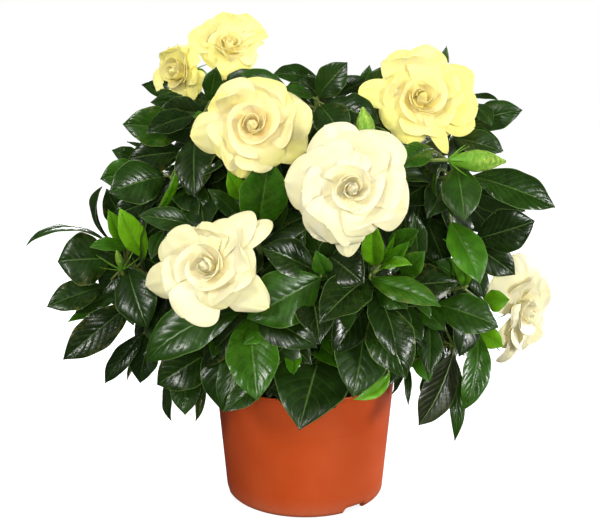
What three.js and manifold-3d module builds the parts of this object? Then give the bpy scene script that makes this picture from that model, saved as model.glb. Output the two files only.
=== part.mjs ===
// Potted gardenia: a small flowering shrub that stands in a round plastic plant pot.
// Millimetres, +Z up. The origin is the middle of the pot's foot, and -Y is the front.
import * as THREE from "three";
import { mergeVertices } from "three/addons/utils/BufferGeometryUtils.js";
import Module from "manifold-3d";

const wasm = await Module();
wasm.setup();

// ---------------------------------------------------------------- driving dimensions

const clearance = 0.3; // between pieces that touch

const pot = {
  height: 88,
  rimRadius: 65,
  footRadius: 57,
  wall: 1.8,
  lip: 0.8, // rounding of the rim
  footRounding: 4.2,
  footRingWidth: 5,
  floorLift: 5, // the floor stands clear of the ground
  floorThickness: 2,
  segments: 36,
  notchCount: 3, // water runs out under the foot through these
  notchWidth: 19,
  notchHeight: 6,
  firstNotch: -52, // degrees from +X
  drainCount: 6,
  drainRadius: 4,
  drainCircle: 30,
};

const soil = { rimDrop: 11, crown: 3.5, segments: 24 };

// A blade grown to keep its neighbours clear widens by side times the growth, as its edges are thin,
// and lengthens at each end by this share of itself for each millimetre.
const bladeGrowth = { side: 3, endShare: 1 / 30 };

// A blade's stations lie along it, and spread is its half width there, as a share of the widest.
const leafSolid = { thickness: 1.1, stations: [0.18, 0.5, 0.82], spread: [0.66, 1, 0.56] };
const leafLean = 8; // a leaf seen from the front has its foot this much deeper, its tip less deep
const ringLeafSolid = { thickness: 1.1, stations: [0.3, 0.7], spread: [0.94, 0.86] };
const stalkRadius = 0.8;
const stalkEnd = 0.14; // it ends this far along the blade

const petalSolid = {
  thickness: 1.3,
  stations: [0.4, 0.84],
  spread: [0.7, 1],
  rise: 5, // how far a petal stands up before it spreads
  seat: 7, // how far behind the heart it starts
};

const heartSolid = { radius: 12.5, below: 6, above: 11, folds: 3, segments: 9 };

const calyx = {
  tubeLength: 15, // the petals' own tube, behind the heart
  tubeRadius: 3,
  cupLength: 8,
  cupWall: 1.2,
  ovaryLength: 9,
  sepalCount: 6,
  sepalLength: 21,
  sepalRadius: 0.8,
};

const twigRadius = { foot: 2, end: 1.2 };

// Places are read as across and up, in millimetres, on the upright plane through the pot's axis,
// as this eye point sees them, and each has its own depth: its y, which is negative at the front.
const eye = new THREE.Vector3(-3.5, -667, 292);

function seen([across, up, depth]) {
  const onPlane = new THREE.Vector3(across, 0, up);
  return eye.clone().lerp(onPlane, (depth - eye.y) / -eye.y);
}

const rad = THREE.MathUtils.degToRad;
const vec = (p) => new THREE.Vector3(...p);

// A repeatable number from 0 to 1 for each seed.
function chance(seed) {
  const wide = Math.sin(seed * 12.9898 + 4.137) * 43758.5453;
  return wide - Math.floor(wide);
}

// ---------------------------------------------------------------- solids

function toSolid(geometry) {
  const bare = geometry.clone();
  bare.deleteAttribute("normal");
  bare.deleteAttribute("uv");
  const merged = mergeVertices(bare, 1e-4);
  const triVerts = new Uint32Array(merged.index.array);
  const vertProperties = merged.attributes.position.array;
  const made = new wasm.Manifold(new wasm.Mesh({ numProp: 3, vertProperties, triVerts }));
  if (made.volume() > 0) return made;
  for (let i = 0; i < triVerts.length; i += 3) {
    [triVerts[i + 1], triVerts[i + 2]] = [triVerts[i + 2], triVerts[i + 1]];
  }
  return new wasm.Manifold(new wasm.Mesh({ numProp: 3, vertProperties, triVerts }));
}

function toGeometry(solid) {
  const mesh = solid.getMesh();
  const stride = mesh.numProp;
  const positions = new Float32Array(mesh.numVert * 3);
  for (let i = 0; i < mesh.numVert; i++) {
    positions.set(mesh.vertProperties.subarray(i * stride, i * stride + 3), i * 3);
  }
  const geometry = new THREE.BufferGeometry();
  geometry.setAttribute("position", new THREE.BufferAttribute(positions, 3));
  geometry.setIndex(new THREE.BufferAttribute(mesh.triVerts, 1));
  geometry.computeVertexNormals();
  return geometry;
}

// A closed solid from rings of points, each ring counterclockwise about the way it travels.
// An end is either a single point or the last ring itself, closed flat.
function ringSolid(rings, startPoint, endPoint) {
  const sides = rings[0].length;
  const points = rings.flat();
  const faces = [];
  const at = (ring, side) => ring * sides + (side % sides);
  for (let ring = 0; ring + 1 < rings.length; ring++) {
    for (let side = 0; side < sides; side++) {
      faces.push(at(ring, side), at(ring, side + 1), at(ring + 1, side + 1));
      faces.push(at(ring, side), at(ring + 1, side + 1), at(ring + 1, side));
    }
  }
  const last = rings.length - 1;
  if (startPoint) {
    const tip = points.push(startPoint) - 1;
    for (let side = 0; side < sides; side++) faces.push(tip, at(0, side + 1), at(0, side));
  } else {
    for (let side = 1; side + 1 < sides; side++) faces.push(at(0, 0), at(0, side + 1), at(0, side));
  }
  if (endPoint) {
    const tip = points.push(endPoint) - 1;
    for (let side = 0; side < sides; side++) faces.push(tip, at(last, side), at(last, side + 1));
  } else {
    for (let side = 1; side + 1 < sides; side++) {
      faces.push(at(last, 0), at(last, side), at(last, side + 1));
    }
  }
  const geometry = new THREE.BufferGeometry().setFromPoints(points);
  geometry.setIndex(faces);
  return toSolid(geometry);
}

// A stem along a curve, thinning from one radius to the other.
function stemSolid(curve, startRadius, endRadius, steps, sides) {
  const chord = curve.getPoint(1).sub(curve.getPoint(0));
  const reference = Math.abs(chord.z) > 0.8 * chord.length() ? vec([1, 0, 0]) : vec([0, 0, 1]);
  const rings = [];
  for (let step = 0; step <= steps; step++) {
    const t = step / steps;
    const centre = curve.getPoint(t);
    const along = curve.getTangent(t);
    const across = reference.clone().cross(along).normalize();
    const over = along.clone().cross(across);
    const radius = THREE.MathUtils.lerp(startRadius, endRadius, t);
    const ring = [];
    for (let side = 0; side < sides; side++) {
      const angle = (2 * Math.PI * side) / sides;
      ring.push(
        centre
          .clone()
          .addScaledVector(across, radius * Math.cos(angle))
          .addScaledVector(over, radius * Math.sin(angle)),
      );
    }
    rings.push(ring);
  }
  return ringSolid(rings);
}

// A thin blade, such as a leaf or a petal: pointed at both ends, sharp at its two edges,
// flat on its face and ridged along its back.
function bladeSolid(middle, face, width, form, grow) {
  const rings = form.stations.map((t, i) => {
    const centre = middle(t);
    const along = middle(t + 0.02).sub(middle(t - 0.02)).normalize();
    const normal = face.clone().addScaledVector(along, -face.dot(along)).normalize();
    const side = along.clone().cross(normal);
    const half = (width / 2) * form.spread[i] + bladeGrowth.side * grow;
    return [
      centre.clone().addScaledVector(side, -half).addScaledVector(normal, grow),
      centre.clone().addScaledVector(side, half).addScaledVector(normal, grow),
      centre.clone().addScaledVector(normal, -form.thickness - grow),
    ];
  });
  const beyond = grow * bladeGrowth.endShare;
  return ringSolid(rings, middle(-beyond), middle(1 + beyond));
}

const joined = (solids) => solids.reduce((all, next) => all.add(next));

function largestPiece(solid) {
  return solid.decompose().reduce((best, next) => (next.volume() > best.volume() ? next : best));
}

// ---------------------------------------------------------------- pot and soil

function lathed(profile, segments) {
  const points = profile.map(([r, z]) => new THREE.Vector2(r, z));
  return toSolid(new THREE.LatheGeometry(points, segments).rotateX(Math.PI / 2));
}

// The inside radius of the pot's wall at a height.
function insideRadius(z) {
  return THREE.MathUtils.lerp(pot.footRadius, pot.rimRadius, z / pot.height) - pot.wall;
}

function makePot() {
  const floorTop = pot.floorLift + pot.floorThickness;
  const ringOuter = pot.footRadius - pot.footRounding;
  const profile = [
    [0, pot.floorLift],
    [ringOuter - pot.footRingWidth - 2, pot.floorLift],
    [ringOuter - pot.footRingWidth, 0],
    [ringOuter, 0],
  ];
  for (const turn of [30, 60, 90]) {
    profile.push([
      ringOuter + pot.footRounding * Math.sin(rad(turn)),
      pot.footRounding * (1 - Math.cos(rad(turn))),
    ]);
  }
  profile.push(
    [pot.rimRadius, pot.height - pot.lip],
    [pot.rimRadius - pot.lip / 2, pot.height],
    [pot.rimRadius - pot.wall + pot.lip / 2, pot.height],
    [pot.rimRadius - pot.wall, pot.height - pot.lip],
    [insideRadius(floorTop), floorTop],
    [0, floorTop],
  );
  let body = lathed(profile, pot.segments);
  for (let i = 0; i < pot.notchCount; i++) {
    const angle = rad(pot.firstNotch + (360 / pot.notchCount) * i);
    const arch = new THREE.Shape();
    const half = pot.notchWidth / 2;
    arch.moveTo(-half, -1);
    arch.lineTo(half, -1);
    arch.lineTo(half, pot.notchHeight - 3);
    arch.quadraticCurveTo(half, pot.notchHeight, half - 3, pot.notchHeight);
    arch.lineTo(3 - half, pot.notchHeight);
    arch.quadraticCurveTo(-half, pot.notchHeight, -half, pot.notchHeight - 3);
    const tunnel = new THREE.ExtrudeGeometry(arch, {
      depth: pot.footRingWidth + pot.footRounding + 4,
      bevelEnabled: false,
      curveSegments: 2,
    });
    tunnel.rotateX(Math.PI / 2);
    tunnel.translate(0, -(ringOuter - pot.footRingWidth - 1), 0);
    tunnel.rotateZ(angle + Math.PI / 2);
    // The tunnel stays under the floor, so the pot still holds its soil.
    body = body.subtract(toSolid(tunnel).intersect(underFloor()));
  }
  for (let i = 0; i < pot.drainCount; i++) {
    const angle = (2 * Math.PI * (i + 0.5)) / pot.drainCount;
    const drill = new THREE.CylinderGeometry(pot.drainRadius, pot.drainRadius, 20, 8);
    drill.rotateX(Math.PI / 2);
    drill.translate(pot.drainCircle * Math.cos(angle), pot.drainCircle * Math.sin(angle), 0);
    body = body.subtract(toSolid(drill));
  }
  return body;
}

// Everything outside the pot's hollow, up to the height of the notches.
function underFloor() {
  const wide = pot.rimRadius + 10;
  const floor = pot.floorLift - 0.4;
  const inner = pot.footRadius - pot.wall - 1.4;
  return lathed(
    [
      [0, -2],
      [wide, -2],
      [wide, pot.notchHeight + 2],
      [inner, pot.notchHeight + 2],
      [inner, floor],
      [0, floor],
    ],
    pot.segments,
  );
}

function makeSoil() {
  const bottom = pot.floorLift + pot.floorThickness + clearance;
  const top = pot.height - soil.rimDrop;
  return lathed(
    [
      [0, bottom],
      [insideRadius(bottom) - clearance, bottom],
      [insideRadius(top) - clearance, top],
      [insideRadius(top) * 0.72, top + soil.crown * 0.6],
      [insideRadius(top) * 0.36, top + soil.crown * 0.9],
      [0, top + soil.crown],
    ],
    soil.segments,
  );
}

// ---------------------------------------------------------------- woody stem

const trunk = {
  path: [
    [3, 2, 44],
    [1, 3, 78],
    [-2, 0, 112],
  ],
  radii: [7.5, 5.2],
};

// Each limb leaves the trunk's head and ends at one of these places.
const limbEnds = {
  left: [-76, -30, 148],
  frontLeft: [-24, -62, 146],
  frontRight: [46, -60, 148],
  right: [84, -18, 150],
  highLeft: [-52, -26, 222],
  highFront: [-2, -34, 240],
  highRight: [62, -28, 226],
  back: [4, 66, 150],
  backLeft: [-66, 46, 176],
  backRight: [64, 50, 180],
  highBack: [-2, 40, 240],
};
const limb = { footRadius: 4, endRadius: 2.1, steps: 3, sides: 5 };

function limbCurves() {
  const head = vec(trunk.path[2]);
  return Object.values(limbEnds).map((end, i) => {
    const foot = head.clone().add(vec([0, 0, -4 - 10 * chance(i)]));
    const tip = vec(end);
    const knee = foot.clone().lerp(tip, 0.5);
    knee.x *= 0.8;
    knee.y *= 0.8;
    knee.z += 0.08 * tip.distanceTo(foot);
    return new THREE.QuadraticBezierCurve3(foot, knee, tip);
  });
}
const limbs = limbCurves();

// The place on the limbs that is nearest to a point, away from their crowded feet.
function nearestOnLimbs(target) {
  let best = null;
  for (const curve of limbs) {
    for (let t = 0.4; t <= 1.0001; t += 0.1) {
      const place = curve.getPoint(Math.min(t, 1));
      const far = place.distanceTo(target);
      if (!best || far < best.far) best = { far, place, along: curve.getTangent(Math.min(t, 1)) };
    }
  }
  return best;
}

// A twig's curve from the limbs to its own end, where it arrives along a given direction.
function twigCurve(end, arrive) {
  const start = nearestOnLimbs(end);
  const reach = start.far * 0.4;
  return new THREE.CubicBezierCurve3(
    start.place,
    start.place.clone().addScaledVector(start.along, reach * 0.6),
    end.clone().addScaledVector(arrive, -reach),
    end,
  );
}

function twigPiece(curve, grow) {
  return stemSolid(curve, twigRadius.foot + grow, twigRadius.end + grow, 3, 4);
}

function makeWoodyStem(twigs, grow) {
  const core = new THREE.CatmullRomCurve3(trunk.path.map(vec));
  const solids = [stemSolid(core, trunk.radii[0] + grow, trunk.radii[1] + grow, 5, 8)];
  for (const curve of limbs) {
    solids.push(
      stemSolid(curve, limb.footRadius + grow, limb.endRadius + grow, limb.steps, limb.sides),
    );
  }
  for (const curve of twigs) {
    solids.push(twigPiece(curve, grow));
  }
  return joined(solids);
}

// ---------------------------------------------------------------- flowers

// heart: where the flower's heart is seen. facing: the way it looks. petals: one row each, with
// the angle about the heart (0 to the right, 90 up), the reach of its tip from the heart, its
// width, and how far its tip lies before (+) or behind (-) the heart.
const flowers = {
  top_left: {
    heart: [-84, 306, -14],
    facing: [-0.82, -0.5, -0.05],
    heartSize: 0.75,
    petals: [
      [95, 20, 24, 9],
      [20, 22, 22, 4],
      [150, 18, 22, 12],
      [-35, 22, 22, 2],
      [205, 18, 24, 12],
      [265, 21, 26, 6],
      [-75, 22, 12, -14],
    ],
  },
  top: {
    heart: [-52, 324, -12],
    facing: [0.1, -0.55, 0.8],
    heartSize: 0.8,
    petals: [
      [90, 34, 30, -2],
      [45, 32, 26, 0],
      [10, 24, 26, 0],
      [-40, 28, 26, -4],
      [-95, 32, 20, -6],
      [215, 25, 26, -3],
      [165, 26, 24, 0],
      [130, 30, 26, 2],
    ],
  },
  yellow_left: {
    heart: [-36, 266, -104],
    facing: [-0.05, -1, 0.22],
    heartSize: 1,
    petals: [
      [80, 29, 34, 2],
      [130, 31, 30, 0],
      [158, 29, 24, -2],
      [18, 37, 28, -4],
      [52, 29, 28, 1],
      [190, 38, 21, -6],
      [225, 28, 30, 0],
      [255, 31, 22, -7],
      [-50, 29, 30, 0],
      [-20, 35, 26, -4],
    ],
  },
  front: {
    heart: [33, 222, -140],
    facing: [0, -1, 0.2],
    heartSize: 1,
    petals: [
      [112, 37, 32, -2],
      [60, 38, 36, 0],
      [32, 37, 28, -4],
      [-14, 33, 30, 0],
      [-40, 33, 24, -3],
      [-72, 28, 30, 2],
      [-110, 32, 34, 0],
      [214, 36, 26, -5],
      [172, 38, 30, -4],
      [-97, 39, 14, -12],
    ],
  },
  yellow_right: {
    heart: [80, 284, -64],
    facing: [0.08, -1, 0.25],
    heartSize: 1,
    petals: [
      [174, 37, 18, 2],
      [145, 29, 22, -2],
      [118, 34, 24, -5],
      [80, 32, 32, 0],
      [32, 34, 28, -4],
      [-6, 37, 27, -2],
      [-26, 35, 22, -5],
      [-46, 29, 18, -6],
      [-66, 35, 12, 2],
      [-108, 27, 26, -2],
      [219, 25, 24, 2],
    ],
  },
  left: {
    heart: [-70, 165, -124],
    facing: [-0.25, -1, 0.22],
    heartSize: 1,
    petals: [
      [200, 41, 19, -6],
      [173, 34, 25, -2],
      [143, 30, 23, 0],
      [102, 27, 25, 2],
      [61, 38, 18, -8],
      [39, 48, 17, -10],
      [14, 30, 26, 0],
      [-30, 42, 22, -8],
      [-60, 26, 26, 2],
      [-104, 35, 24, -4],
      [-140, 30, 28, -1],
    ],
  },
  right: {
    heart: [158, 134, -10],
    facing: [0.62, -0.75, -0.1],
    heartSize: 0.9,
    petals: [
      [137, 40, 32, -6],
      [96, 41, 30, -4],
      [55, 32, 26, 0],
      [-12, 36, 28, -2],
      [-60, 34, 28, 0],
      [-105, 38, 28, -4],
      [226, 30, 24, -2],
      [182, 24, 14, 6],
    ],
  },
};

function flowerFrame(flower) {
  const front = vec(flower.facing).normalize();
  const up = vec([0, 0, 1]).addScaledVector(front, -front.z).normalize();
  const right = up.clone().cross(front);
  return { centre: seen(flower.heart), front, up, right };
}

function onFlower(frame, across, up, forward) {
  return frame.centre
    .clone()
    .addScaledVector(frame.right, across)
    .addScaledVector(frame.up, up)
    .addScaledVector(frame.front, forward);
}

function petalPiece(frame, [angle, reach, width, lift], grow) {
  const c = Math.cos(rad(angle));
  const s = Math.sin(rad(angle));
  const curve = new THREE.QuadraticBezierCurve3(
    onFlower(frame, 2 * c, 2 * s, -petalSolid.seat),
    onFlower(frame, 0.45 * reach * c, 0.45 * reach * s, petalSolid.rise + lift / 2),
    onFlower(frame, (reach + grow) * c, (reach + grow) * s, lift),
  );
  const middle = (t) => curve.getPoint(t);
  return bladeSolid(middle, frame.front, width, petalSolid, grow);
}

// Round sections about the flower's own line, from its back to its front.
function turnedOnFlower(frame, rows, sides) {
  const rings = rows.map(([forward, radius]) => {
    const ring = [];
    for (let i = 0; i < sides; i++) {
      const angle = (2 * Math.PI * i) / sides;
      ring.push(onFlower(frame, radius * Math.cos(angle), radius * Math.sin(angle), forward));
    }
    return ring;
  });
  return ringSolid(rings);
}

function outerPetals(flower, frame, grow) {
  const tube = turnedOnFlower(
    frame,
    [
      [-calyx.tubeLength - grow, calyx.tubeRadius + grow],
      [-petalSolid.seat, calyx.tubeRadius + 0.8 + grow],
      [-petalSolid.seat + 3, calyx.tubeRadius + 2 + grow],
    ],
    6,
  );
  return joined([tube, ...flower.petals.map((petal) => petalPiece(frame, petal, grow))]);
}

// The heart is a furled bud whose folds wind round it.
function heartPetals(flower, frame, grow) {
  const size = flower.heartSize;
  const rows = [
    [-heartSolid.below + 2.6, 0.55],
    [0, 0.95],
    [heartSolid.above * 0.45, 0.9],
    [heartSolid.above * 0.8, 0.5],
  ];
  const rings = rows.map(([forward, share], row) => {
    const ring = [];
    for (let i = 0; i < heartSolid.segments; i++) {
      const angle = (2 * Math.PI * i) / heartSolid.segments;
      const wave = 1 + 0.1 * Math.sin(heartSolid.folds * angle + row);
      const radius = heartSolid.radius * size * share * wave + grow;
      const place = forward * size + Math.sign(forward) * grow;
      ring.push(onFlower(frame, radius * Math.cos(angle), radius * Math.sin(angle), place));
    }
    return ring;
  });
  const back = onFlower(frame, 0, 0, -heartSolid.below * size - grow);
  const crown = onFlower(frame, 0, 0, heartSolid.above * size + grow);
  return ringSolid(rings, back, crown);
}

function sepal(frame, place, turn, grow) {
  const angle = (2 * Math.PI * turn) / calyx.sepalCount + 0.4;
  const c = Math.cos(angle);
  const s = Math.sin(angle);
  const rim = calyx.tubeRadius + calyx.cupWall;
  const curve = new THREE.QuadraticBezierCurve3(
    onFlower(frame, (rim - 0.6) * c, (rim - 0.6) * s, place - 1.5),
    onFlower(frame, (rim + 7) * c, (rim + 7) * s, place + 1),
    onFlower(frame, calyx.sepalLength * 0.8 * c, calyx.sepalLength * 0.8 * s, place - 7),
  );
  return stemSolid(curve, calyx.sepalRadius + grow, 0.25 + grow, 2, 3);
}

// A ribbed green cup that holds the petals' tube, with the ovary under it and thin sepals.
function calyxSolid(frame, grow) {
  const cupBack = -calyx.tubeLength;
  const cupRim = cupBack + calyx.cupLength;
  const outer = calyx.tubeRadius + clearance + calyx.cupWall + grow;
  const body = turnedOnFlower(
    frame,
    [
      [cupBack - calyx.ovaryLength - grow, 1.6 + grow],
      [cupBack - calyx.ovaryLength * 0.6, outer * 0.8],
      [cupBack, outer * 0.92],
      [cupRim + grow, outer + 0.3],
    ],
    6,
  );
  const sepals = [];
  for (let turn = 0; turn < calyx.sepalCount; turn++) {
    sepals.push(sepal(frame, cupRim - 1, turn, grow));
  }
  return joined([body, ...sepals]);
}

function calyxEnd(frame) {
  const back = calyx.tubeLength + calyx.ovaryLength + clearance;
  return onFlower(frame, 0, 0, -back);
}

// ---------------------------------------------------------------- buds

// from: the bud's foot; to: its tip; radius: its widest.
const buds = {
  right: { from: [101, 242, -86], to: [140, 241, -84], radius: 7.2 },
  top: { from: [44, 250, -92], to: [40, 278, -90], radius: 6.2 },
  left: { from: [-131, 164, -66], to: [-134, 178, -72], radius: 2.6 },
};

function budFrame(bud) {
  const foot = seen(bud.from);
  const tip = seen(bud.to);
  const front = tip.clone().sub(foot).normalize();
  const up = vec([0, 0, 1]).addScaledVector(front, -front.z);
  if (up.length() < 0.3) up.copy(vec([0, 1, 0])).addScaledVector(front, -front.y);
  up.normalize();
  return { centre: foot, front, up, right: up.clone().cross(front), length: tip.distanceTo(foot) };
}

function budSolid(bud, grow) {
  const frame = budFrame(bud);
  const radius = bud.radius;
  const rows = [
    [0 - grow, 1.5 + grow],
    [frame.length * 0.12, radius * 0.55 + grow],
    [frame.length * 0.45, radius + grow],
    [frame.length * 0.75, radius * 0.8 + grow],
    [frame.length + grow, 0.6 + grow],
  ];
  const solids = [turnedOnFlower(frame, rows, 6)];
  for (let turn = 0; turn < calyx.sepalCount; turn++) {
    const angle = (2 * Math.PI * turn) / calyx.sepalCount;
    const c = Math.cos(angle);
    const s = Math.sin(angle);
    const curve = new THREE.QuadraticBezierCurve3(
      onFlower(frame, 1.2 * c, 1.2 * s, 1),
      onFlower(frame, (radius + 3) * c, (radius + 3) * s, 2),
      onFlower(frame, (radius + 5) * c, (radius + 5) * s, 10),
    );
    solids.push(stemSolid(curve, calyx.sepalRadius + grow, 0.25 + grow, 2, 3));
  }
  return joined(solids);
}

// ---------------------------------------------------------------- leafy shoots at the front

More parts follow.
